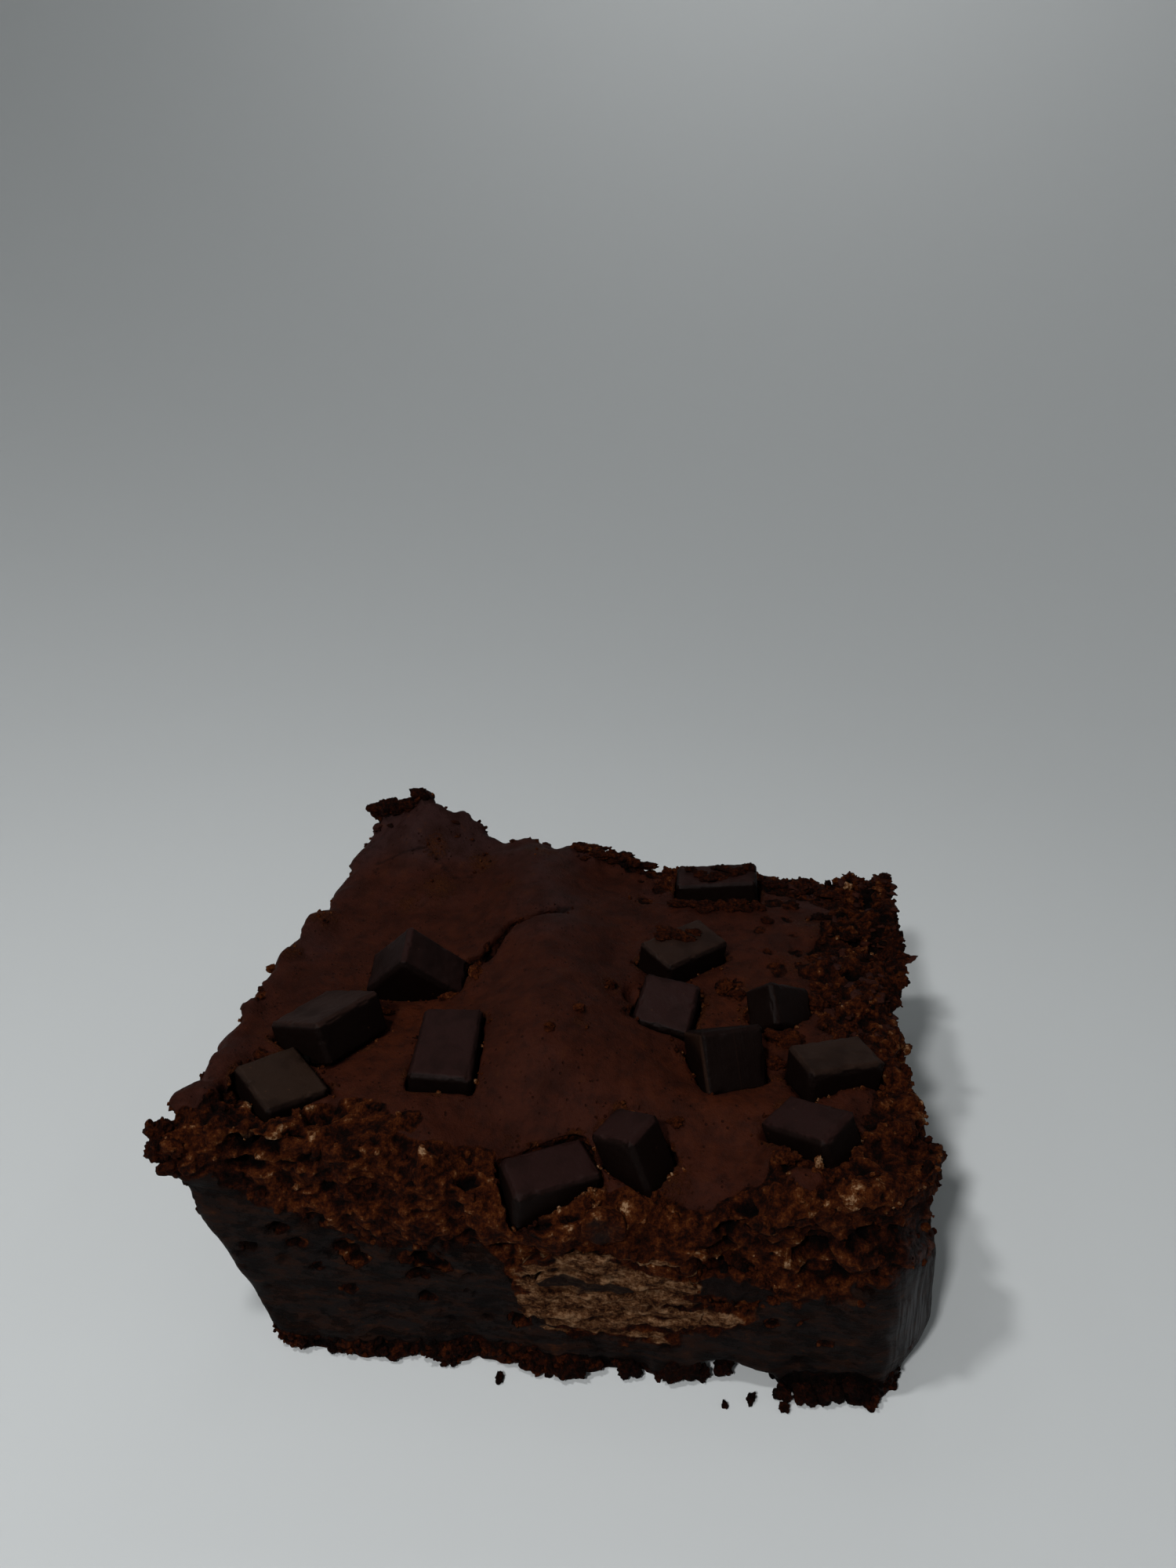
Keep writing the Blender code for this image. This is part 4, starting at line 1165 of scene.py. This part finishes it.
# Painted shade along the crack and the fold
for line, width, depth in CRACKS:
    in_crack = rise(width, 0.4 * width, distance_to_line(surface.points, line) + width * ragged_line)
    hollow = np.maximum(hollow, depth * in_crack * shares["skin"])
print("mean hollow %.2f" % hollow.mean(), "nearest to a chunk %.2f mm" % to_chunk.min())

# %% [markdown]
# ## The crumb, ready to show
#
# The values could be baked into an image, but stored on the points they need no unwrapping and
# go with the mesh. A strip at the right corner is marked as well, where the blade slid down and
# left a smooth face that gets a painted pale reflection. Then the material is put on, and the
# finished mesh takes the place of the solid.

# %% Dress the crumb
# Where the painted reflection lies on the corner cut
STRIP_PLACE = (37.6, -30.0, 9.5)
STRIP_REACH = (3.4, 4.5, 8.5)
strip = near(surface.points, STRIP_PLACE, STRIP_REACH) * rise(0.25, 0.60, facing[:, 0])
crumb_values = {"tone": tone, "hollow": hollow, "strip": strip, **shades}
for name in ("skin", "smear", "milk"):
    crumb_values[name] = shares[name]
for name, values in crumb_values.items():
    surface.store(name, values)
crumb.data.materials.append(CRUMB)
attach(crumb, "root")
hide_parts("brownie")
print("values on each point", sorted(crumb_values))

# %% [markdown]
# ## The chunks
#
# Each chunk is a block whose edges are a little worn. A bevel would round every edge alike. The
# fine mesh rounds them first, slow waves keep the faces from being dead flat, and noise bites
# small chips where the surface stands out most, which is along the edges. How far each point
# stands out is stored too, for the dust. The two split chunks get a number that grows along
# their cut face, for the lines of the blade.

# %% Dress the chunks
# The split chunks, with the direction along each cut face, and the chunks whose painted lit tops are
# olive
SPLIT_CHUNKS = {"chunk_standing": (0.927, 0.375, 0.0), "chunk_leaning": (0.80, 0.60, 0.0)}
OLIVE_CHUNKS = {
    "chunk_left_front": 1.0,
    "chunk_right_middle": 0.8,
    "chunk_right_back": 0.7,
    "chunk_left_slab": 0.4,
}
CHUNK_VOXEL = 0.16
CHUNK_SMOOTHING = 1
EDGE_STAND_OUT = 0.07
EDGE_SHARPENING = 0.15
BLADE_START = 40.0


def dress_chunk(node):
    """The fine mesh of a chunk, with worn edges, its stored values and its material."""
    piece = fine_mesh(node, node.replace("chunk_", "chocolate_"), CHUNK_VOXEL, CHUNK_SMOOTHING)
    shape = Surface(piece.data)
    points = shape.points
    edge = np.clip(shape.stand_out(6) / EDGE_STAND_OUT, 0.0, 1.0)

    # Slow waves on the faces, then edges sharpened and chipped
    push = 0.07 * wave(points, 2.8, seed=31.0) + 0.03 * wave(points, 0.9, seed=32.0)
    push += EDGE_SHARPENING * edge ** 3
    push -= 0.34 * edge * rise(0.22, 0.5, wave(points, 1.5, seed=33.0))
    push -= 0.08 * edge * rise(0.0, 0.5, wave(points, 0.6, seed=34.0))
    shape.push(push)
    shape.store("edge", edge)
    shape.store("olive", np.full(len(points), OLIVE_CHUNKS.get(node, 0.0)))
    if node in SPLIT_CHUNKS:
        shape.store("blade", points @ np.array(SPLIT_CHUNKS[node]) + BLADE_START)
    piece.data.materials.append(CHOCOLATE)
    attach(piece, "root")
    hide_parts(node)
    return piece


chunk_pieces = [dress_chunk(node) for node in CHUNKS]
print("chunks", len(chunk_pieces), "faces", sum(len(piece.data.polygons) for piece in chunk_pieces))

# %% [markdown]
# ## What the knife went through
#
# The pale pocket and the dark slices lie flush with the cut, and the knife dragged them into the
# crumb. With a finish of their own they would show as ovals with hard outlines. So each is
# swollen sideways into its pocket, and its face takes the same relief and the same shares as the
# crumb round it, so that streaks of tan and brown run across the border.

# %% Dress the cut pieces
PIECE_SWELL = 0.60
PIECE_LIFT = 0.08
CUT_SMOOTHING = 2


def dress_cut(node, name, slot_name, voxel_mm, darkness=1.0):
    """The fine mesh of a piece in the cut, blended into the crumb round it."""
    piece = fine_mesh(node, name, voxel_mm, CUT_SMOOTHING)
    shape = Surface(piece.data)
    points = shape.points
    middle = 0.5 * (points.min(axis=0) + points.max(axis=0))
    half = 0.5 * (points.max(axis=0) - points.min(axis=0))

    # Where each point lies on the cut face: how far from the middle, and which way
    from_middle = (points - middle) * np.array((1.0, 0.0, 1.0))
    how_far_out = np.hypot(from_middle[:, 0] / half[0], from_middle[:, 2] / half[2])
    outward = from_middle / (np.linalg.norm(from_middle, axis=1)[:, None] + 1e-6)
    at_front = rise(FRONT_FACE + 0.6, FRONT_FACE - 0.6, points[:, 1])
    ahead = np.repeat(np.array([[0.0, -1.0, 0.0]]), len(points), axis=0)

    # Swollen sideways, and in front the same relief as the crumb's, just proud of it
    shares = zones(points, ahead)
    shift = outward * (PIECE_SWELL * rise(0.55, 0.85, how_far_out))[:, None]
    shift += ahead * ((relief(points, shares, ahead) + PIECE_LIFT) * at_front)[:, None]
    if slot_name == "dark_chocolate":
        ragged = 0.60 * wave(points, 1.3, seed=71.0, stretch=(2.8, 1.0, 0.7))
        shares["slice"] = darkness * rise(1.10, 0.60, how_far_out + ragged)
    shape.move(shift)
    # The tone with its painted light and shade, and a weaker painted shade in hollows and holes
    tone, hollow = tones(shape)
    shape.store("tone", tone)
    shape.store("hollow", hollow * 0.6)
    for share in ("smear", "milk", "slice"):
        if share in shares:
            shape.store(share, shares[share])
    piece.data.materials.append(CRUMB)
    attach(piece, "root")
    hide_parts(node)
    return piece


cut_pieces = [
    dress_cut("milk_pocket", "drawn_out_milk_chocolate", "milk_chocolate", 0.28),
    dress_cut("cut_dark_piece", "sliced_dark_piece", "dark_chocolate", 0.20, 0.72),
    dress_cut("cut_small_piece", "sliced_small_piece", "dark_chocolate", 0.18, 0.52),
    dress_cut("cut_dark_sliver", "sliced_dark_sliver", "dark_chocolate", 0.18, 0.72),
]
print("cut pieces", [piece.name for piece in cut_pieces])

# %% [markdown]
# ## The shapes of loose grains
#
# Relief alone can't overhang, and real crumb does: grains perch on grains and break the outline
# everywhere, and the back edge sheds thin flakes of skin. So both are made as geometry of their
# own. Ten rough shapes are enough, since no two copies will be turned or scaled alike. Each is a
# ball whose points are moved in and out by three sizes of noise.

# %% Make a grain
GRAIN_SHAPES = 10


def grain_shape(detail, seed):
    """One rough grain about 1 mm in radius: its points and its triangles."""
    bm = bmesh.new()
    bmesh.ops.create_icosphere(bm, subdivisions=detail, radius=1.0)
    for vert in bm.verts:
        swell = 1.0 + 0.75 * noise.noise(vert.co + Vector((seed, 0.0, 0.0)))
        swell += 0.45 * abs(noise.noise(vert.co * 2.3 + Vector((0.0, seed, 0.0))))
        swell += 0.30 * noise.noise(vert.co * 4.5 + Vector((0.0, 0.0, seed)))
        vert.co *= swell
    points = np.array([vert.co[:] for vert in bm.verts])
    faces = np.array([[vert.index for vert in face.verts] for face in bm.faces])
    bm.free()
    return points, faces


print("points in a small grain", len(grain_shape(2, seed=0.0)[0]))

# %% [markdown]
# ## Thousands of copies in one mesh
#
# A particle system or instances would strew the grains with less code, but they would have to be
# made real before they count as meshes. Laying the copies into one mesh with arrays does both at
# once. Each copy has its own size, turn and tone, drawn from a seeded generator, so that every
# run is the same.

# %% Lay copies into one mesh
LOWEST = 0.02


def turns(draw, count, tilt, spin):
    """Random turns as a stack of 3 x 3 matrices; a small tilt keeps a grain's own Z near upright."""
    spin = draw.uniform(-spin, spin, count)
    lean = tilt * draw.normal(size=count)
    way = draw.uniform(0.0, 2.0 * math.pi, count)
    matrices = []
    for spin_by, lean_by, angle in zip(spin, lean, way):
        axis = Vector((math.cos(angle), math.sin(angle), 0.0))
        matrices.append((Matrix.Rotation(lean_by, 3, axis) @ Matrix.Rotation(spin_by, 3, "Z"))[:])
    return np.array(matrices)


def strew(name, places, sizes, values, detail, draw, squash=(0.7, 0.7, 0.6), tilt=2.0, spin=math.pi):
    """One mesh of grains: a copy of one of a few shapes at each place, with its own values."""
    shapes = [grain_shape(detail, seed=3.1 * index) for index in range(GRAIN_SHAPES)]
    kind = draw.integers(0, GRAIN_SHAPES, len(places))
    matrices = turns(draw, len(places), tilt, spin)
    scales = np.array(squash) + draw.uniform(0.0, 0.3, size=(len(places), 3))
    all_points = []
    all_faces = []
    owners = []
    start = 0
    for index, (points, faces) in enumerate(shapes):
        chosen = np.nonzero(kind == index)[0]
        local = points[None] * scales[chosen][:, None, :] * sizes[chosen][:, None, None]
        turned = np.einsum("nij,nkj->nki", matrices[chosen], local) + places[chosen][:, None, :]
        all_points.append(turned.reshape(-1, 3))
        offsets = start + np.arange(len(chosen)) * len(points)
        all_faces.append((faces[None] + offsets[:, None, None]).reshape(-1, 3))
        owners.append(np.repeat(chosen, len(points)))
        start += len(chosen) * len(points)
    points = np.concatenate(all_points)
    points[:, 2] = np.maximum(points[:, 2], LOWEST)
    mesh = bpy.data.meshes.new(name)
    mesh.from_pydata((points * MM).tolist(), [], np.concatenate(all_faces).tolist())
    mesh.update()
    mesh.shade_smooth()
    grains = bpy.data.objects.new(name, mesh)
    scene.collection.objects.link(grains)
    shape = Surface(mesh)
    owner = np.concatenate(owners)
    for value_name, value in values.items():
        shape.store(value_name, value[owner])
    mesh.materials.append(CRUMB)
    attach(grains, "root")
    return grains


print("a copy's turns, for example", np.round(turns(np.random.default_rng(0), 1, 1.0, 1.0), 2).tolist())

# %% [markdown]
# ## Grains of five kinds
#
# Grains lie thickest where crumb was torn, and differ by place: small ones all over the torn
# faces, large ones along the rims, fine bright ones on the skin round the chunks, dark ones along
# the foot, and a few over the seams of the cut pieces. Each kind is strewn by a weight for every
# point, which is a product of the shares and distances found before. A grain takes the tone of
# the point that it sits on.

# %% Strew the grains
GRAIN_SEED = 5
GRAIN_LIFT = 0.1
GRAIN_JITTER = 0.05
BRIGHTEST_GRAIN = 0.86
LEAST_WEIGHT = 1e-3
CUTS = ("cut_small_piece", "cut_dark_piece", "cut_dark_sliver")


def spots_on(surface, weight, count, size_range, lift, draw):
    """Random points of a surface, more of them where weight is larger, and a size for each."""
    chosen = draw.choice(len(weight), size=count, p=weight / weight.sum(), replace=False)
    low, high = size_range
    sizes = low + (high - low) * draw.random(count) ** 2.5
    jitter = draw.normal(scale=GRAIN_JITTER, size=(count, 3))
    places = surface.points[chosen] + surface.normals[chosen] * (lift * sizes)[:, None] + jitter
    return chosen, places, sizes


def strew_grains(name, weight, count, size_range, detail, seed, brighter=0.0):
    """Grains of one kind on the crumb, where their weight says."""
    draw = np.random.default_rng(seed)
    count = min(count, int((weight > LEAST_WEIGHT).sum()))
    chosen, places, sizes = spots_on(surface, weight, count, size_range, GRAIN_LIFT, draw)
    shade = tone[chosen] + brighter + draw.normal(scale=0.10, size=count)
    values = {"tone": np.clip(shade, 0.0, BRIGHTEST_GRAIN)}
    return strew(name, places, sizes, values, detail, draw)


points = surface.points
x, y, z = points.T
on_torn = shares["torn"] * rise(0.2, 0.6, z) * rise(-0.8, -0.5, facing[:, 2])
on_right = on_torn * (1.0 + 2.0 * rise(22.0, 30.0, x) * rise(20.0, 23.0, z))
at_rims = on_torn * (0.25 + rise(30.0, 36.0, np.abs(x)) + rise(24.0, 30.0, y))
at_foot = on_torn * rise(3.4, 2.0, z) * rise(-28.0, -31.0, y)
by_rims = shares["skin"] * rise(1.5, 0.9, to_chunk) * rise(0.15, 0.35, to_chunk)
by_rims *= 0.1 + rise(0.0, 0.4, wave(points, 2.5, seed=26.0))
by_cracks = shares["skin"] * rise(1.6, 0.7, distance_to_line(points, CRACK_LINE))
on_rust = shares["skin"] * rise(0.25, 0.6, shades["rust"])
on_skin = 2.0 * by_rims + 0.2 * by_cracks + 0.5 * on_rust
to_cut = distance_to(CUTS, points)
at_seams = (1.0 - shares["skin"]) * rise(1.5, 0.6, to_cut) * rise(FRONT_FACE, FRONT_FACE - 1.0, y)
small_grains = strew_grains("small_grains", on_right, 2400, (0.13, 0.42), 2, GRAIN_SEED)
large_grains = strew_grains("large_grains", at_rims, 240, (0.40, 0.80), 3, GRAIN_SEED + 1, brighter=-0.03)
rim_grains = strew_grains("rim_grains", on_skin, 1000, (0.10, 0.34), 2, GRAIN_SEED + 3, brighter=0.08)
# The grains along the foot are a little darker still: painted shade under the overhang
foot_grains = strew_grains("foot_grains", at_foot, 320, (0.18, 0.52), 3, GRAIN_SEED + 4, brighter=-0.04)
seam_grains = strew_grains("seam_grains", at_seams, 150, (0.20, 0.60), 3, GRAIN_SEED + 6)
all_grains = (small_grains, large_grains, rim_grains, foot_grains, seam_grains)
print("grain faces", [len(grains.data.polygons) for grains in all_grains])

# %% [markdown]
# ## Single lumps
#
# Some lumps are seen one by one: crumbs on the chunks and beside them, the ragged raised corner,
# torn bits along the back, the lip at the front left, the crumbs under the foot and four that
# have fallen off in front. A random draw wouldn't put them where they belong, so each has its
# place. On top the height under a lump isn't known beforehand, and one that is guessed hangs in
# the air. So there a lump is given in plan, and a ray cast down finds what it lies on.

# %% Place the single lumps
# Each lump's place, its half sizes and its tone
LUMPS_ON_TOP = (
    ((24.2, -8.4), (2.2, 1.2, 1.0), 0.58), ((23.6, -12.2), (0.9, 0.8, 0.8), 0.56),
    ((28.4, -0.6), (1.1, 1.0, 0.9), 0.54), ((11.3, 6.1), (2.0, 0.7, 0.35), 0.50),
    ((13.4, 7.2), (0.8, 0.5, 0.35), 0.48), ((9.6, 5.2), (0.8, 0.5, 0.3), 0.54),
    ((16.0, 23.6), (1.6, 0.8, 0.35), 0.44), ((19.0, 24.6), (0.9, 0.6, 0.4), 0.42),
    ((13.9, 24.4), (0.9, 0.6, 0.3), 0.46), ((17.2, 25.4), (1.4, 0.6, 0.5), 0.40),
    ((20.6, 25.6), (0.8, 0.6, 0.5), 0.44), ((12.6, 25.8), (0.8, 0.5, 0.5), 0.40),
    ((12.8, -21.8), (0.5, 0.5, 0.4), 0.62), ((17.6, 0.6), (1.2, 0.9, 0.7), 0.62),
    ((19.2, -0.8), (0.8, 0.7, 0.6), 0.58), ((1.2, -10.9), (0.45, 0.45, 0.35), 0.66),
    ((-1.4, -15.2), (0.35, 0.35, 0.3), 0.62), ((4.0, -3.4), (0.7, 0.5, 0.4), 0.56),
    ((-12.6, -1.4), (0.5, 1.2, 0.4), 0.66), ((-15.0, -5.0), (1.2, 0.4, 0.4), 0.68),
    ((-22.4, -7.8), (1.3, 0.5, 0.4), 0.62), ((15.0, 18.2), (1.3, 0.5, 0.3), 0.48),
    ((24.0, 27.6), (1.8, 0.5, 0.35), 0.42), ((27.2, 27.4), (1.6, 0.5, 0.3), 0.46),
    ((26.4, 21.4), (1.0, 0.8, 0.3), 0.42), ((32.6, 26.8), (1.8, 1.0, 0.4), 0.50),
    ((33.5, 15.2), (1.5, 1.2, 0.4), 0.36), ((-35.2, 28.8), (0.8, 0.8, 0.5), 0.46),
    ((-34.6, 29.9), (0.9, 0.8, 0.5), 0.42), ((-33.4, 29.9), (1.1, 0.8, 0.50), 0.46),
    ((-32.3, 29.9), (1.2, 0.9, 1.10), 0.40), ((-31.0, 30.0), (1.3, 0.9, 1.50), 0.42),
    ((-29.3, 30.2), (1.4, 0.8, 1.20), 0.44), ((-27.6, 30.2), (1.2, 0.7, 0.60), 0.38),
    ((11.6, 19.2), (1.5, 0.7, 0.6), 0.50), ((14.4, 19.0), (1.9, 0.7, 0.9), 0.46),
    ((17.3, 19.3), (1.2, 0.6, 0.6), 0.52), ((19.6, 19.6), (1.6, 0.7, 0.8), 0.48),
    ((21.9, 20.4), (1.0, 0.7, 0.5), 0.50), ((30.4, 19.0), (1.2, 0.8, 0.4), 0.40),
    ((31.0, 10.6), (1.1, 0.9, 0.5), 0.42), ((23.2, 16.4), (0.8, 0.5, 0.3), 0.46),
)
LUMPS_IN_PLACE = (
    ((-38.6, -31.2, 25.4), (1.1, 1.2, 1.1), 0.46), ((-38.7, -31.9, 23.6), (1.0, 0.9, 1.0), 0.44),
    ((-37.2, -32.2, 22.4), (1.2, 0.8, 1.0), 0.44), ((-37.0, -31.9, 24.6), (1.1, 0.8, 0.9), 0.50),
    ((27.0, -27.9, 25.5), (0.28, 0.28, 1.1), 0.86), ((23.8, -27.2, 25.8), (1.2, 0.8, 0.9), 0.66),
    ((-0.8, 28.5, 28.2), (1.5, 0.8, 0.5), 0.48), ((0.9, 28.7, 28.1), (0.9, 0.7, 0.6), 0.52),
    ((2.3, 28.6, 27.9), (1.6, 0.8, 0.5), 0.45), ((4.1, 28.6, 27.3), (1.0, 0.7, 0.6), 0.50),
    ((5.7, 28.4, 26.8), (1.5, 0.8, 0.45), 0.46), ((-3.4, 29.0, 29.1), (1.3, 0.7, 0.4), 0.50),
    # The lumps under the foot and the fallen ones are dark, partly painted shade under the overhang
    ((2.9, -33.6, 1.0), (1.8, 1.0, 0.9), 0.36), ((-0.6, -33.3, 1.0), (1.2, 0.9, 0.8), 0.38),
    ((9.3, -32.7, 0.9), (0.9, 0.7, 0.8), 0.30), ((14.5, -32.3, 1.6), (1.5, 1.0, 1.4), 0.36),
    ((16.7, -32.3, 0.7), (0.6, 0.6, 0.6), 0.32), ((19.1, -31.4, 1.3), (0.8, 0.7, 0.8), 0.34),
    ((25.0, -33.4, 0.7), (0.7, 0.6, 0.6), 0.34), ((27.2, -33.4, 0.9), (0.9, 0.8, 0.8), 0.36),
    ((29.6, -33.0, 1.2), (1.3, 1.0, 1.1), 0.30), ((32.2, -32.6, 1.3), (1.2, 1.0, 1.1), 0.32),
    ((21.8, -34.2, 0.3), (0.38, 0.36, 0.34), 0.30), ((25.1, -34.8, 0.25), (0.35, 0.3, 0.3), 0.36),
    ((19.2, -35.1, 0.2), (0.25, 0.25, 0.25), 0.36), ((-3.9, -35.0, 0.25), (0.42, 0.28, 0.26), 0.32),
)
LUMP_SINK = 0.25
LUMP_SHRINK = 0.85
ABOVE_ALL = 45.0


def place_lumps():
    """Lumps given in plan are set down on what is below them, and the others are placed as given."""
    draw = np.random.default_rng(GRAIN_SEED + 5)
    ground = search_tree([piece.data for piece in (crumb, *chunk_pieces)])
    places = []
    for (x, y), half, _ in LUMPS_ON_TOP:
        below = ground.ray_cast((x, y, ABOVE_ALL), (0.0, 0.0, -1.0))[0]
        places.append((x, y, below[2] + LUMP_SINK * half[2]))
    places += [place for place, _, _ in LUMPS_IN_PLACE]
    lumps = LUMPS_ON_TOP + LUMPS_IN_PLACE
    squash = np.array([half for _, half, _ in lumps]) * LUMP_SHRINK
    sizes = np.ones(len(places))
    values = {"tone": np.array([shade for _, _, shade in lumps])}
    places = np.array(places)
    return strew("single_lumps", places, sizes, values, 4, draw, squash=squash, tilt=0.15, spin=0.5)


single_lumps = place_lumps()
lump_count = len(LUMPS_ON_TOP) + len(LUMPS_IN_PLACE)
print("single lumps", lump_count, "faces", len(single_lumps.data.polygons))

# %% [markdown]
# ## Flakes of skin
#
# Along the back, at the right and on the raised corner the skin has broken into thin flakes that
# lie loose on the crumb. They could be cut from the skin's own mesh, but grains squashed flat
# look the same at this size and need nothing new. Some of them are skin and some torn crumb.

# %% Strew the flakes
FLAKE_COUNT = 380
FLAKE_LIFT = 0.05
# How much painted sheen the flakes of skin get
FLAKE_SHEEN = 0.35
SKIN_SHARE = 0.6


def strew_flakes():
    """Thin flakes of skin along the back, on the right and on the raised corner."""
    draw = np.random.default_rng(GRAIN_SEED + 2)
    x, y, z = surface.points.T
    weight = rise(24.0, 28.0, y) + 0.8 * rise(26.0, 31.0, x) * rise(-12.0, 0.0, y)
    weight *= rise(21.0, 24.0, z) * (0.25 + shares["torn"])
    weight += 1.2 * rise(27.0, 31.0, y) * rise(-22.0, -30.0, x) * rise(28.0, 31.0, z)
    chosen, places, sizes = spots_on(surface, weight, FLAKE_COUNT, (0.30, 1.00), FLAKE_LIFT, draw)
    is_skin = (draw.random(FLAKE_COUNT) < SKIN_SHARE).astype(float)
    values = {
        "tone": np.clip(tone[chosen] + draw.normal(scale=0.12, size=FLAKE_COUNT), 0.0, 0.9),
        "skin": is_skin,
        "bloom": np.full(FLAKE_COUNT, FLAKE_SHEEN),
    }
    return strew("skin_flakes", places, sizes, values, 3, draw, squash=(0.8, 0.6, 0.14), tilt=0.35)


skin_flakes = strew_flakes()
print("flake faces", len(skin_flakes.data.polygons))

# %% [markdown]
# ## The size
#
# The dressed brownie has to stay as large as its solids, which a look at the picture can't tell.
